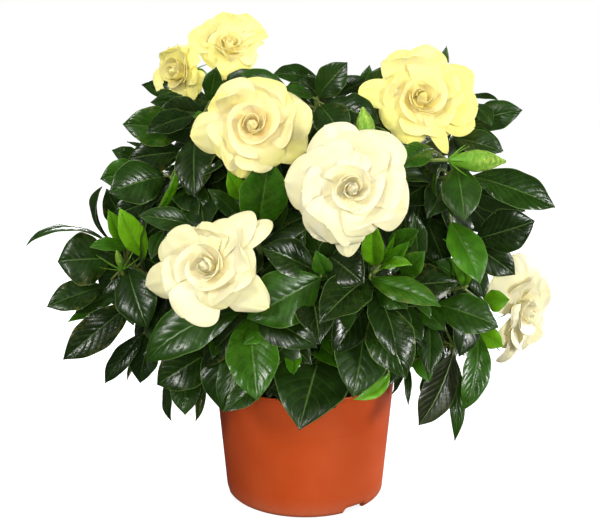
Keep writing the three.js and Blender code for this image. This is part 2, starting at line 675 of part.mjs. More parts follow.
// end: where the shoot's tip is seen. Each leaf runs from its stalk to its tip. wide: its width.
// face: the way its upper side looks. bow: how far its middle arches towards that side, as a share
// of its length. bend: the same, sideways.
const frontShoots = {
  left_tuft: {
    end: [-128, 168, -50],
    leaves: [
      { from: [-141, 187, -50], to: [-197.5, 185, -50], wide: 16, face: [0, 0.5, 1], bow: 0.19 },
      { from: [-138, 187, -50], to: [-143, 221, -42], wide: 18, face: [-1, -0.35, 0], bow: 0.28 },
      { from: [-122, 190, -40], to: [-140, 222, -34], wide: 20, face: [-0.2, -1, 0.1] },
      { from: [-114, 172, -66], to: [-131, 208, -66], wide: 17, face: [0.1, -1, 0.3] },
      { from: [-129, 180, -58], to: [-139, 207, -54], wide: 11, face: [0.4, -1, 0.2] },
      { from: [-126, 180, -64], to: [-153, 181, -66], wide: 13, face: [0, -1, 0.8] },
      { from: [-138, 172, -54], to: [-174, 167, -50], wide: 34, face: [-0.2, -1, 0.3] },
      { from: [-144, 156, -54], to: [-188, 141, -54], wide: 23, face: [0, -1, 0.6], bow: 0.04 },
      { from: [-150, 134, -40], to: [-171, 126, -42], wide: 7, face: [0, -1, 0.5] },
      { from: [-124, 140, -58], to: [-177, 98, -62], wide: 35, face: [-0.1, -1, 0.1], bow: 0.05 },
      { from: [-127, 166, -68], to: [-114, 121, -76], wide: 29, face: [0, -1, 0.1] },
    ],
  },
  low_left: {
    end: [-112, 124, -46],
    leaves: [
      { from: [-117, 119, -48], to: [-148, 80, -42], wide: 22, face: [-0.3, -1, 0.2] },
      { from: [-108, 122, -40], to: [-92, 96, -24], wide: 24, face: [0, -1, 0.4] },
    ],
  },
  hanging_left: {
    end: [-84, 100, -50],
    leaves: [
      { from: [-64, 106, -70], to: [-109, 78, -64], wide: 31, face: [0, -1, 0.3] },
      { from: [-97, 90, -52], to: [-100, 50, -48], wide: 17, face: [-1, -0.5, 0] },
      { from: [-87, 94, -54], to: [-88, 55, -54], wide: 21, face: [0.1, -1, -0.1] },
      { from: [-80, 94, -46], to: [-79, 50, -44], wide: 12, face: [0.8, -0.6, 0] },
    ],
  },
  front_low: {
    end: [-42, 134, -98],
    leaves: [
      { from: [-40, 131, -104], to: [-35, 66, -124], wide: 32, face: [0, -1, 0.35], bow: 0.06 },
      { from: [-45, 134, -100], to: [-117, 95, -94], wide: 32, face: [-0.1, -1, 0.35], bend: 0.08 },
      { from: [-44, 112, -92], to: [-60, 57, -98], wide: 21, face: [0.1, -1, 0.5] },
      { from: [-56, 122, -84], to: [-60, 57, -86], wide: 31, face: [-0.1, -1, 0.1] },
      { from: [-58, 128, -80], to: [-67, 98, -92], wide: 13, face: [0, -1, 0.2] },
    ],
  },
  centre: {
    end: [10, 160, -102],
    leaves: [
      { from: [12, 158, -106], to: [-42, 128, -96], wide: 37, face: [0.1, -1, 0.3], bow: 0.05 },
      { from: [8, 162, -110], to: [-31, 180, -106], wide: 24, face: [0, -1, 0.7] },
      { from: [15, 166, -102], to: [42, 157, -112], wide: 25, face: [0, -1, 0.2] },
      { from: [16, 160, -112], to: [8, 177, -118], wide: 12, face: [-0.2, -1, 0.4] },
    ],
  },
  right_rosette: {
    end: [50, 163, -106],
    leaves: [
      { from: [50, 166, -110], to: [48, 200, -116], wide: 16, face: [-0.2, -1, 0.1] },
      { from: [53, 165, -112], to: [76, 168, -120], wide: 11, face: [0, -1, 0.9] },
      { from: [46, 157, -114], to: [98, 138, -126], wide: 19, face: [0.1, -1, 0.8], bow: 0.05 },
      { from: [70, 158, -106], to: [85, 177, -106], wide: 15, face: [0, -1, 0.6] },
      { from: [54, 167, -106], to: [64, 189, -110], wide: 4, face: [0, -1, 0.2] },
      { from: [57, 166, -106], to: [74, 184, -106], wide: 9, face: [0, -1, 0.3] },
      { from: [58, 176, -98], to: [81, 193, -98], wide: 14, face: [0, -1, 0.5] },
      { from: [80, 165, -94], to: [77, 205, -90], wide: 15, face: [0.2, -1, 0.1] },
      { from: [74, 148, -104], to: [91, 128, -112], wide: 9, face: [0.3, -1, 0.6] },
      { from: [52, 151, -100], to: [74, 136, -106], wide: 18, face: [0, -1, 0.3] },
      { from: [52, 138, -102], to: [74, 83, -120], wide: 31, face: [-0.15, -1, 0.3], bow: 0.06 },
      { from: [41, 154, -108], to: [41, 140, -112], wide: 7, face: [0, -1, 0.3] },
      { from: [44, 128, -92], to: [36, 69, -110], wide: 30, face: [0.1, -1, 0.3], bow: 0.05 },
    ],
  },
  pot_front: {
    end: [8, 114, -80],
    leaves: [
      { from: [12, 104, -82], to: [-4, 45, -124], wide: 44, face: [0, -1, 0.55] },
      { from: [-8, 118, -86], to: [-28, 72, -100], wide: 14, face: [-0.3, -1, 0.1] },
      { from: [-8, 108, -94], to: [-9, 85, -102], wide: 11, face: [0, -1, 0.3] },
      { from: [24, 98, -86], to: [-8, 89, -90], wide: 12, face: [0, -1, 0] },
      { from: [-6, 124, -90], to: [41, 141, -98], wide: 34, face: [0, -1, 0.2] },
      { from: [2, 132, -100], to: [15, 121, -108], wide: 10, face: [0, -1, 0.4] },
    ],
  },
  right_low: {
    end: [108, 108, -60],
    leaves: [
      { from: [108, 104, -66], to: [83, 47, -76], wide: 25, face: [-0.1, -1, 0.1], bend: -0.06 },
      { from: [107, 104, -56], to: [112, 34, -58], wide: 12, face: [0.2, -1, 0] },
      { from: [126, 119, -62], to: [120, 60, -66], wide: 24, face: [0.2, -1, 0.2] },
      { from: [124, 119, -52], to: [144, 107, -50], wide: 15, face: [0, -1, 0.2] },
      { from: [94, 139, -90], to: [141, 122, -86], wide: 27, face: [0.1, -1, 0.5] },
      { from: [82, 138, -84], to: [102, 119, -82], wide: 14, face: [0, -1, 0.4] },
      { from: [90, 127, -80], to: [91, 86, -88], wide: 17, face: [0, -1, 0.3] },
      { from: [80, 108, -78], to: [91, 80, -80], wide: 14, face: [0, -1, 0.2] },
      { from: [73, 94, -98], to: [75, 63, -102], wide: 6, face: [-0.6, -1, 0], bend: -0.12 },
    ],
  },
  right_mid: {
    end: [116, 152, -70],
    leaves: [
      { from: [112, 151, -80], to: [104, 171, -86], wide: 9, face: [-0.3, -1, 0.3], bend: 0.15 },
      { from: [106, 168, -74], to: [98, 185, -80], wide: 5, face: [-0.3, -1, 0.3], bend: 0.2 },
      { from: [128, 140, -66], to: [147, 142, -64], wide: 15, face: [0, -1, 0.3] },
      { from: [112, 154, -60], to: [92, 170, -62], wide: 18, face: [0, -1, 0.5] },
    ],
  },
  right_high: {
    end: [106, 236, -72],
    leaves: [
      { from: [106, 238, -86], to: [113, 199, -96], wide: 25, face: [0, -1, 0.3] },
      { from: [93, 237, -78], to: [92, 216, -82], wide: 6, face: [-0.8, -0.6, 0] },
      { from: [97, 223, -76], to: [105, 202, -80], wide: 8, face: [0, -1, 0.2] },
      { from: [117, 231, -76], to: [177, 209, -66], wide: 27, face: [0.1, -1, 0.6], bow: 0.06 },
      { from: [121, 186, -62], to: [163, 199, -54], wide: 30, face: [0.1, -1, 0.1] },
      { from: [103, 199, -86], to: [126, 154, -94], wide: 20, face: [0.1, -1, 0.4], bow: 0.07 },
      { from: [90, 250, -80], to: [62, 238, -90], wide: 17, face: [0, -1, 0.4] },
    ],
  },
  top_right: {
    end: [112, 268, -28],
    leaves: [
      { from: [112, 267, -34], to: [151, 277, -30], wide: 21, face: [0, -1, 0.4] },
      { from: [110, 284, -24], to: [134, 284, -24], wide: 10, face: [0, -0.5, 1], bow: 0.1 },
      { from: [102, 262, -40], to: [139, 249, -42], wide: 17, face: [0, -1, 0.5] },
      { from: [116, 281, -40], to: [130, 266, -46], wide: 13, face: [0, -1, 0.5] },
      { from: [90, 290, -20], to: [97, 320, -14], wide: 9, face: [0, -1, 0] },
    ],
  },
  top_centre: {
    end: [8, 284, -60],
    leaves: [
      { from: [10, 297, -50], to: [-23, 301, -46], wide: 16, face: [0, -1, 0.8] },
      { from: [-12, 291, -60], to: [-45, 302, -54], wide: 13, face: [0, -1, 0.5] },
      { from: [8, 285, -68], to: [29, 309, -62], wide: 20, face: [0, -1, 0.3] },
      { from: [40, 280, -44], to: [44, 307, -40], wide: 12, face: [0, -1, 0.3] },
      { from: [12, 281, -72], to: [52, 268, -76], wide: 24, face: [0, -1, 0.5] },
      { from: [10, 280, -74], to: [28, 256, -84], wide: 24, face: [0, -1, 0.4] },
      { from: [6, 285, -72], to: [-16, 291, -78], wide: 10, face: [0, -1, 0.5] },
    ],
  },
  top_left: {
    end: [-72, 272, -50],
    leaves: [
      { from: [-62, 280, -40], to: [-113, 294, -36], wide: 18, face: [0, -1, 0.6] },
      { from: [-78, 281, -30], to: [-107, 282, -28], wide: 13, face: [0, -1, 0.3] },
      { from: [-77, 273, -58], to: [-111, 261, -62], wide: 18, face: [0, -1, 0.6] },
      { from: [-82, 262, -48], to: [-127, 267, -46], wide: 27, face: [0, -1, 0.2] },
      { from: [-104, 246, -46], to: [-124, 255, -44], wide: 4, face: [0, -1, 0.5] },
      { from: [-77, 258, -64], to: [-78, 216, -74], wide: 25, face: [0, -1, 0.2] },
      { from: [-66, 270, -62], to: [-77, 272, -66], wide: 9, face: [0, -1, 0.4] },
      { from: [-66, 282, -34], to: [-61, 306, -28], wide: 14, face: [0, -1, 0.1] },
    ],
  },
  left: {
    end: [-94, 230, -58],
    leaves: [
      { from: [-112, 234, -50], to: [-144, 229, -48], wide: 21, face: [-0.2, -1, 0.2] },
      { from: [-112, 240, -40], to: [-135, 249, -36], wide: 13, face: [0, -1, 0.3] },
      { from: [-98, 231, -68], to: [-138, 219, -72], wide: 30, face: [0, -1, 0.4] },
      { from: [-106, 203, -76], to: [-90, 234, -78], wide: 12, face: [0.8, -0.6, 0.1] },
      { from: [-75, 195, -84], to: [-118, 203, -84], wide: 16, face: [0, -1, 0.5] },
      { from: [-100, 192, -80], to: [-110, 172, -88], wide: 11, face: [0, -1, 0.3] },
      { from: [-92, 228, -60], to: [-68, 203, -72], wide: 22, face: [0.1, -1, 0.3] },
    ],
  },
  mid_left: {
    end: [-36, 194, -92],
    leaves: [
      { from: [-34, 192, -98], to: [-25, 244, -102], wide: 29, face: [0.1, -1, 0.1] },
      { from: [-43, 213, -92], to: [-54, 234, -90], wide: 12, face: [0, -1, 0.1] },
      { from: [-44, 200, -86], to: [-68, 222, -84], wide: 12, face: [0, -1, 0.3] },
      { from: [-28, 190, -88], to: [-12, 216, -86], wide: 12, face: [0, -1, 0.1] },
    ],
  },
};

// ---------------------------------------------------------------- leafy shoots all round

// Rings of shoots: height and radius of their tips, and the sector that they fill, in degrees
// from +X, with 90 at the back.
const shootRings = [
  { name: "back_low", height: 122, radius: 104, from: 6, to: 174, count: 5, leaves: 8 },
  { name: "back_mid", height: 196, radius: 112, from: 18, to: 162, count: 4, leaves: 8 },
  { name: "back_high", height: 258, radius: 74, from: 28, to: 152, count: 3, leaves: 8 },
  { name: "inner_low", height: 138, radius: 62, from: 205, to: 335, count: 3, leaves: 6 },
  { name: "inner_high", height: 224, radius: 58, from: 205, to: 335, count: 3, leaves: 6 },
];
const crown = { middle: [0, 2, 162], radii: [156, 168, 142] }; // no leaf on these shoots leaves it
const fullLeaf = { shortest: 46, longest: 72, widthShare: 0.44 };

function ringShoots() {
  const made = {};
  shootRings.forEach((ring, row) => {
    for (let i = 0; i < ring.count; i++) {
      const seed = row * 20 + i;
      const angle = rad(THREE.MathUtils.lerp(ring.from, ring.to, i / (ring.count - 1)));
      const radius = ring.radius * (0.94 + 0.12 * chance(seed));
      const height = ring.height + 16 * (chance(seed + 0.5) - 0.5);
      const end = vec([radius * Math.cos(angle), radius * Math.sin(angle), height]);
      made[`${ring.name}_${i + 1}`] = ringShoot(end, ring, seed);
    }
  });
  return made;
}

// Pairs of leaves, each pair turned from the last, along the outer part of the shoot's twig.
function ringShoot(end, ring, seed) {
  const outward = end.clone().sub(vec([0, 0, 120])).normalize();
  const curve = twigCurve(end, outward);
  const leaves = [];
  for (let k = 0; k < ring.leaves; k++) {
    const pair = Math.floor(k / 2);
    const pairs = ring.leaves / 2;
    const t = THREE.MathUtils.lerp(0.55, 0.99, pair / (pairs - 1));
    const from = curve.getPoint(t);
    const along = curve.getTangent(t);
    const across = vec([0, 0, 1]).cross(along).normalize();
    const over = along.clone().cross(across);
    const turn = Math.PI * (k % 2) + rad(77) * pair + 0.6 * chance(seed + k * 0.13);
    const spread = rad(THREE.MathUtils.lerp(78, 38, pair / (pairs - 1)));
    const share = chance(seed * 1.7 + k * 0.31);
    const length = THREE.MathUtils.lerp(fullLeaf.shortest, fullLeaf.longest, share);
    const way = along
      .clone()
      .multiplyScalar(Math.cos(spread))
      .addScaledVector(across, Math.sin(spread) * Math.cos(turn))
      .addScaledVector(over, Math.sin(spread) * Math.sin(turn));
    way.z -= 0.22;
    const to = insideCrown(from.clone().addScaledVector(way.normalize(), length));
    const face = outward.clone().add(vec([0, 0, 0.9]));
    const wide = length * fullLeaf.widthShare;
    leaves.push({ base: from, tip: to, wide, face, bow: 0.1, form: ringLeafSolid });
  }
  return { curve, leaves };
}

function insideCrown(point) {
  const off = point.clone().sub(vec(crown.middle));
  const far = Math.hypot(off.x / crown.radii[0], off.y / crown.radii[1], off.z / crown.radii[2]);
  return far > 1 ? vec(crown.middle).addScaledVector(off, 1 / far) : point;
}

// ---------------------------------------------------------------- leaves on shoots

function frontShoot(shoot) {
  const end = seen(shoot.end);
  const outward = end.clone().sub(vec([0, 0, 120])).normalize();
  const leaves = shoot.leaves.map((leaf) => ({
    ...leaf,
    base: seen([leaf.from[0], leaf.from[1], leaf.from[2] + leafLean]),
    tip: seen([leaf.to[0], leaf.to[1], leaf.to[2] - leafLean]),
    face: vec(leaf.face),
    form: leafSolid,
    stalked: true,
  }));
  return { curve: twigCurve(end, outward), leaves };
}

// The line along the middle of a leaf, and the way that its upper side looks.
function leafLine({ base, tip, face, bow = 0.08, bend = 0 }) {
  const chord = tip.clone().sub(base);
  const along = chord.clone().normalize();
  const normal = face.clone().addScaledVector(along, -face.dot(along)).normalize();
  const side = along.clone().cross(normal);
  const middle = (t) => {
    const arch = 4 * t * (1 - t) * chord.length();
    return base
      .clone()
      .addScaledVector(chord, t)
      .addScaledVector(normal, bow * arch)
      .addScaledVector(side, bend * arch);
  };
  return { middle, normal };
}

function leafPiece(leaf, grow) {
  const { middle, normal } = leafLine(leaf);
  return bladeSolid(middle, normal, leaf.wide, leaf.form, grow);
}

// The leaf's stalk, from the nearest place on the twig into the foot of the blade.
function stalkPiece(leaf, curve, grow) {
  let best = curve.getPoint(1);
  for (let t = 0.3; t < 1; t += 0.05) {
    const place = curve.getPoint(t);
    if (place.distanceTo(leaf.base) < best.distanceTo(leaf.base)) best = place;
  }
  const path = new THREE.LineCurve3(best, leafLine(leaf).middle(stalkEnd));
  return stemSolid(path, stalkRadius + grow, stalkRadius * 0.8 + grow, 1, 3);
}

function twigSolid({ curve, leaves }, grow) {
  const stalked = leaves.filter((leaf) => leaf.stalked);
  const stalks = stalked.map((leaf) => stalkPiece(leaf, curve, grow));
  return joined([twigPiece(curve, grow), ...stalks]);
}

// A leaf that nothing else placed so far stands in the way of, or that is seen from the front.
function hasRoom(leaf, others) {
  if (leaf.stalked) return true;
  const piece = leafPiece(leaf, 0);
  return others.every((other) => piece.intersect(other.solid).volume() === 0);
}

// ---------------------------------------------------------------- the whole plant

const materials = {
  pot: new THREE.MeshStandardMaterial({ color: 0xb04a20, roughness: 0.45, metalness: 0 }),
  soil: new THREE.MeshStandardMaterial({ color: 0x2e2018, roughness: 1, metalness: 0 }),
  bark: new THREE.MeshStandardMaterial({ color: 0x6b5842, roughness: 0.9, metalness: 0 }),
  leaf: new THREE.MeshStandardMaterial({ color: 0x1f4a14, roughness: 0.3, metalness: 0 }),
  petal: new THREE.MeshStandardMaterial({ color: 0xfaf0b8, roughness: 0.6, metalness: 0 }),
  heart: new THREE.MeshStandardMaterial({ color: 0xf2dc9a, roughness: 0.6, metalness: 0 }),
  green: new THREE.MeshStandardMaterial({ color: 0x6ea62a, roughness: 0.4, metalness: 0 }),
};

// What is already there: each solid, and the same solid grown by the clearance.
const placed = [];
const nodes = [];

function keepClear(solid, others) {
  for (const other of others) {
    if (solid.intersect(other.solid).volume() > 0) solid = solid.subtract(other.grown);
  }
  return solid;
}

// A new piece gives way to the pieces that are already there, by the clearance.
function place(name, material, build) {
  const solid = largestPiece(keepClear(build(0), placed));
  placed.push({ solid, grown: build(clearance) });
  nodes.push({ name, material, solid });
}

const flowerFrames = Object.entries(flowers).map(([name, flower]) => ({
  name,
  flower,
  frame: flowerFrame(flower),
}));

const flowerTwigs = flowerFrames.map(({ frame }) => twigCurve(calyxEnd(frame), frame.front));
const budTwigs = Object.values(buds).map((bud) => {
  const frame = budFrame(bud);
  return twigCurve(frame.centre.clone().addScaledVector(frame.front, -clearance), frame.front);
});

place("pot", materials.pot, () => makePot());
for (const { name, flower, frame } of flowerFrames) {
  place(`flower_${name}_heart`, materials.heart, (grow) => heartPetals(flower, frame, grow));
}
for (const { name, flower, frame } of flowerFrames) {
  place(`flower_${name}_petals`, materials.petal, (grow) => outerPetals(flower, frame, grow));
}
for (const { name, frame } of flowerFrames) {
  place(`flower_${name}_calyx`, materials.green, (grow) => calyxSolid(frame, grow));
}
for (const [name, bud] of Object.entries(buds)) {
  place(`bud_${name}`, materials.green, (grow) => budSolid(bud, grow));
}
place("woody_stem", materials.bark, (grow) => makeWoodyStem([...flowerTwigs, ...budTwigs], grow));
place("potting_soil", materials.soil, () => makeSoil());

// Every shoot's twig and stalks are laid first, so that no other shoot's leaf cuts through them.
const shoots = {};
for (const [name, shoot] of Object.entries(frontShoots)) shoots[name] = frontShoot(shoot);
Object.assign(shoots, ringShoots());
const names = Object.keys(shoots);
const twigs = {};
for (const name of names) {
  const solid = largestPiece(keepClear(twigSolid(shoots[name], 0), placed));
  twigs[name] = { solid, grown: twigSolid(shoots[name], clearance) };
  placed.push(twigs[name]);
}
for (const name of names) {
  const others = placed.filter((other) => other !== twigs[name]);
  const leaves = shoots[name].leaves.filter((leaf) => hasRoom(leaf, others));
  const blades = (grow) => joined(leaves.map((leaf) => leafPiece(leaf, grow)));
  const clear = keepClear(blades(0), others);
  nodes.push({
    name: `shoot_${name}`,
    material: materials.leaf,
    solid: largestPiece(twigs[name].solid.add(clear)),
  });
  placed.push({ solid: clear, grown: blades(clearance) });
}

const plant = new THREE.Group();
for (const { name, material, solid } of nodes) {
  const mesh = new THREE.Mesh(toGeometry(solid), material);
  mesh.name = name;
  plant.add(mesh);
}

export default plant;
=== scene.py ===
import math

import bmesh
import bpy
import numpy as np
from mathutils import Matrix


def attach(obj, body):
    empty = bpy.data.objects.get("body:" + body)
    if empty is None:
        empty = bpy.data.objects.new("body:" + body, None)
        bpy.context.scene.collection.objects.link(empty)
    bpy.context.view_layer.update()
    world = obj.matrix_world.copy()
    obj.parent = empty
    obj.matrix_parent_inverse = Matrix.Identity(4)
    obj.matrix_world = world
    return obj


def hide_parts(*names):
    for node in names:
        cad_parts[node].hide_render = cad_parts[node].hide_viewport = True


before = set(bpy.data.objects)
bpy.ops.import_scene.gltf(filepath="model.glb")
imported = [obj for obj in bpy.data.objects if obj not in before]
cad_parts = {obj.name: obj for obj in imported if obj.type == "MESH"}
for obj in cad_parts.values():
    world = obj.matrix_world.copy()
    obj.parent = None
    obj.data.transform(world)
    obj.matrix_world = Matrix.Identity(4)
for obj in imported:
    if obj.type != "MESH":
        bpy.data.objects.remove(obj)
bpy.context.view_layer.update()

# A gardenia in flower, in a plastic plant pot. Lengths are millimetres until a mesh is made.
# The origin is the middle of the pot's foot, Z is up and -Y is the front.
metre = 0.001
upward = np.array((0.0, 0.0, 1.0))

view = dict(eye=(-3.5, -667, 292), downDegrees=10.5, lens=57, sensor=36)

lights = dict(  # place, size in metres, power in watts, colour. Glossy leaves don't mirror the panels.
    leftWindow=((-700, -1000, 820), 0.34, 8.5, (1.0, 0.99, 0.96)),
    rightWindow=((760, -900, 340), 0.26, 8, (1.0, 1.0, 0.98)),
    frontPanel=((-60, -1300, 420), 0.40, 8.5, (1.0, 0.99, 0.96)),
    topPanel=((0, -150, 1250), 0.60, 5, (1.0, 1.0, 0.98)),
    rightEdge=((950, 560, 160), 0.60, 22, (1.0, 1.0, 1.0)),
    backWindow=((-350, 1000, 700), 0.45, 12, (1.0, 1.0, 0.98)),
)
lightTarget = (0, 0, 170)
surround = dict(seen=1.0, lit=0.15, mirrored=0.05)  # how bright the room looks, how much light it gives
floorGlow = dict(near=0.74, far=1.0, reach=(0.12, 0.75), halfSide=6.0)  # lengths in metres


def unit(v):
    v = np.asarray(v, float)
    return v / np.linalg.norm(v, axis=-1, keepdims=True)


def metres(place):
    return [x * metre for x in place]


def aim(thing, place, target):
    forward = unit(np.subtract(target, place))
    thing.location = metres(place)
    thing.rotation_euler = (math.acos(-forward[2]), 0, math.atan2(forward[1], forward[0]) - math.pi / 2)


def link(name, data):
    thing = bpy.data.objects.new(name, data)
    bpy.context.scene.collection.objects.link(thing)
    return thing


def makeCamera():
    lens = bpy.data.cameras.new("camera")
    lens.lens = view["lens"]
    lens.sensor_fit = "HORIZONTAL"
    lens.sensor_width = view["sensor"]
    lens.clip_start = 0.01
    camera = link("camera", lens)
    camera.location = metres(view["eye"])
    camera.rotation_euler = (math.radians(90 - view["downDegrees"]), 0, 0)
    bpy.context.scene.camera = camera
    bpy.context.scene.view_settings.view_transform = "Standard"


def makeLights():
    for name, (place, size, power, colour) in lights.items():
        lamp = bpy.data.lights.new(name, "AREA")
        lamp.shape = "DISK"
        lamp.size = size
        lamp.energy = power
        lamp.color = colour
        placed = link(name, lamp)
        placed.visible_glossy = "Panel" not in name
        aim(placed, place, lightTarget)


# A function that makes nodes in a material or a world. Values are numbers, or sockets to link.
def nodeMaker(owner):
    tree = owner.node_tree

    def make(kind, values=(), **settings):
        made = tree.nodes.new("ShaderNode" + kind)
        for setting, value in settings.items():
            setattr(made, setting, value)
        for socket, value in dict(values).items():
            if isinstance(value, bpy.types.NodeSocket):
                tree.links.new(value, made.inputs[socket])
            else:
                made.inputs[socket].default_value = value
        return made

    return make


# A material whose shader has these constant values. It comes with its shader and a node maker.
def newMaterial(name, values):
    material = bpy.data.materials.new(name)
    material.use_nodes = True
    shader = material.node_tree.nodes["Principled BSDF"]
    for socket, value in values.items():
        shader.inputs[socket].default_value = value
    return material, shader, nodeMaker(material)


def join(shader, socket, value):
    shader.id_data.links.new(value, shader.inputs[socket])


def add(make, a, b, clamp=False):
    return make("Math", {0: a, 1: b}, operation="ADD", use_clamp=clamp).outputs[0]


def times(make, a, b):
    return make("Math", {0: a, 1: b}, operation="MULTIPLY").outputs[0]


def ranged(make, value, low, high, toLow, toHigh, smooth=False):
    kind = "SMOOTHSTEP" if smooth else "LINEAR"
    values = {"Value": value, "From Min": low, "From Max": high, "To Min": toLow, "To Max": toHigh}
    return make("MapRange", values, interpolation_type=kind).outputs["Result"]


def mixed(make, amount, a, b):
    a, b = (x if isinstance(x, bpy.types.NodeSocket) else (*x, 1) for x in (a, b))
    return make("Mix", {0: amount, 6: a, 7: b}, data_type="RGBA").outputs[2]


def ramp(make, value, stops):
    made = make("ValToRGB", {"Fac": value})
    band = made.color_ramp
    while len(band.elements) < len(stops):
        band.elements.new(1)
    for element, (place, colour) in zip(band.elements, stops):
        element.position = place
        element.color = (*colour, 1)
    return made.outputs["Color"]


def inObject(make):
    return make("TexCoord").outputs["Object"]


def stretch(make, vector, scale):
    return make("Mapping", {"Vector": vector, "Scale": scale}).outputs["Vector"]


def noise(make, scale, detail, vector=None, distortion=0.0):
    values = {"Scale": scale, "Detail": detail, "Distortion": distortion, "Vector": vector or inObject(make)}
    return make("TexNoise", values).outputs["Fac"]


def cellEdges(make, vector, scale):
    values = {"Vector": vector, "Scale": scale}
    return make("TexVoronoi", values, feature="DISTANCE_TO_EDGE").outputs["Distance"]


def bump(make, shader, height, strength, distance):
    values = {"Height": height, "Strength": strength, "Distance": distance}
    join(shader, "Normal", make("Bump", values).outputs["Normal"])


# The piece's own map, which runs along and across each leaf or petal, and its tint.
def ownMap(make):
    own = make("UVMap", uv_map="leafMap").outputs["UV"]
    parts = make("SeparateXYZ", {"Vector": own})
    return own, parts.outputs["X"], parts.outputs["Y"]


def ownTint(make):
    parts = make("SeparateColor", {"Color": make("Attribute", attribute_name="tint").outputs["Color"]})
    return parts.outputs["Red"], parts.outputs["Green"], parts.outputs["Blue"]


# The room looks white, as a lit backdrop does, but gives the plant only a little light.
def makeSurround():
    world = bpy.data.worlds.new("room")
    bpy.context.scene.world = world
    world.use_nodes = True
    world.node_tree.nodes.clear()
    make = nodeMaker(world)
    ray = make("LightPath").outputs
    given = ranged(make, ray["Is Glossy Ray"], 0, 1, surround["lit"], surround["mirrored"])
    strength = ranged(make, ray["Is Camera Ray"], 0, 1, given, surround["seen"])
    glow = make("Background", {"Color": (1, 1, 1, 1), "Strength": strength}).outputs["Background"]
    make("OutputWorld", {"Surface": glow})


def makeFloor():
    mesh = bpy.data.meshes.new("floor")
    half = floorGlow["halfSide"]
    corners = [(-half, -half, 0), (half, -half, 0), (half, half, 0), (-half, half, 0)]
    mesh.from_pydata(corners, [], [(0, 1, 2, 3)])
    floor = link("floor", mesh)
    finish, shader, make = newMaterial("paleFloor", {
        "Roughness": 0.9, "Specular IOR Level": 0.1, "Base Color": (0.5, 0.5, 0.5, 1),
        "Emission Color": (1, 1, 1, 1)})
    away = make("VectorMath", {0: inObject(make)}, operation="LENGTH").outputs["Value"]
    glow = ranged(make, away, *floorGlow["reach"], floorGlow["near"], floorGlow["far"])
    join(shader, "Emission Strength", glow)
    mesh.materials.append(finish)
    floor.visible_diffuse = False  # the glowing floor lights nothing
    floor.visible_glossy = False


leafVeins = dict(pairs=9, sweep=0.30, stagger=0.35)  # the side veins, in the finish and in the shape
leafLook = dict(
    gloss={"Specular IOR Level": 0.5, "Coat Weight": 0.10, "Coat Roughness": 0.14},
    lowerGloss={"Specular IOR Level": 0.5, "Roughness": 0.36},
    upper=((0, (0.006, 0.016, 0.002)), (0.3, (0.014, 0.048, 0.002)),
           (0.6, (0.036, 0.140, 0.002)), (1, (0.150, 0.400, 0.004))),
    lower=((0, (0.016, 0.020, 0.009)), (0.5, (0.060, 0.105, 0.026)), (1, (0.240, 0.380, 0.070))),
    vein=(0.20, 0.34, 0.08), dry=(0.16, 0.13, 0.03),
    sideVein=0.12, middleVein=0.30, lowerSideVein=0.36, lowerMiddleVein=0.6, edge=0.35,  # how pale
    blotches=160, speckles=900, drySpots=320, net=34.0,  # how fine each pattern is
)


# How close a place on a leaf is to its side veins (0 on a vein, 0.5 midway), and to its middle.
def veinPlaces(make):
    own, along, across = ownMap(make)
    offMiddle = make("Math", {0: across, 1: 2.0, 2: -1.0}, operation="MULTIPLY_ADD").outputs[0]
    fromMiddle = make("Math", {0: offMiddle}, operation="ABSOLUTE").outputs[0]
    swung = make("Math", {0: fromMiddle, 1: 1.1}, operation="POWER").outputs[0]
    left = make("Math", {0: across, 1: 0.5}, operation="LESS_THAN").outputs[0]
    swept = times(make, swung, -leafVeins["pairs"] * leafVeins["sweep"])
    phase = add(make, times(make, along, leafVeins["pairs"]), swept)
    phase = add(make, phase, times(make, left, leafVeins["stagger"]))
    return own, fromMiddle, make("Math", {0: phase, 1: 0.5}, operation="PINGPONG").outputs[0]


# Glossy above and duller below, darker with age, with pale veins, a pale edge and faint mottling.
def makeLeafFinish(name, underneath):
    material, shader, make = newMaterial(name, leafLook["lowerGloss" if underneath else "gloss"])
    own, fromMiddle, fromVein = veinPlaces(make)
    age, random, wear = ownTint(make)
    blotch = noise(make, leafLook["blotches"], 3)
    shade = add(make, age, ranged(make, blotch, 0.35, 0.65, -0.06, 0.06))
    shade = add(make, shade, ranged(make, random, 0, 1, -0.07, 0.07), clamp=True)
    colour = ramp(make, shade, leafLook["lower" if underneath else "upper"])
    sideVein = times(make, ranged(make, fromVein, 0, 0.11, 1, 0, smooth=True),
                     ranged(make, fromMiddle, 0.55, 1, 1, 0, smooth=True))
    sideVein = times(make, sideVein, leafLook["lowerSideVein" if underneath else "sideVein"])
    middleVein = times(make, ranged(make, fromMiddle, 0, 0.06, 1, 0, smooth=True),
                       leafLook["lowerMiddleVein" if underneath else "middleVein"])
    edge = times(make, ranged(make, fromMiddle, 0.955, 0.99, 0, 1, smooth=True), leafLook["edge"])
    dry = times(make, wear, ranged(make, noise(make, leafLook["drySpots"], 4), 0.5, 0.62, 0, 1))
    colour = mixed(make, sideVein, colour, mixed(make, 0.5, colour, leafLook["vein"]))
    colour = mixed(make, middleVein, colour, leafLook["vein"])
    colour = mixed(make, edge, colour, leafLook["vein"])
    join(shader, "Base Color", mixed(make, dry, colour, leafLook["dry"]))
    if not underneath:
        worn = times(make, random, 0.12)  # some leaves are duller
        join(shader, "Roughness", add(make, worn, ranged(make, blotch, 0.3, 0.7, 0.20, 0.32)))
    height = ranged(make, cellEdges(make, own, leafLook["net"]), 0, 0.12, 0, 0.12)
    height = add(make, height, ranged(make, fromVein, 0, 0.3, 0, 1.0, smooth=True))
    height = add(make, height, times(make, noise(make, leafLook["speckles"], 2), 0.06))
    bump(make, shader, height, 0.3, -0.00025 if underneath else 0.00025)
    return material


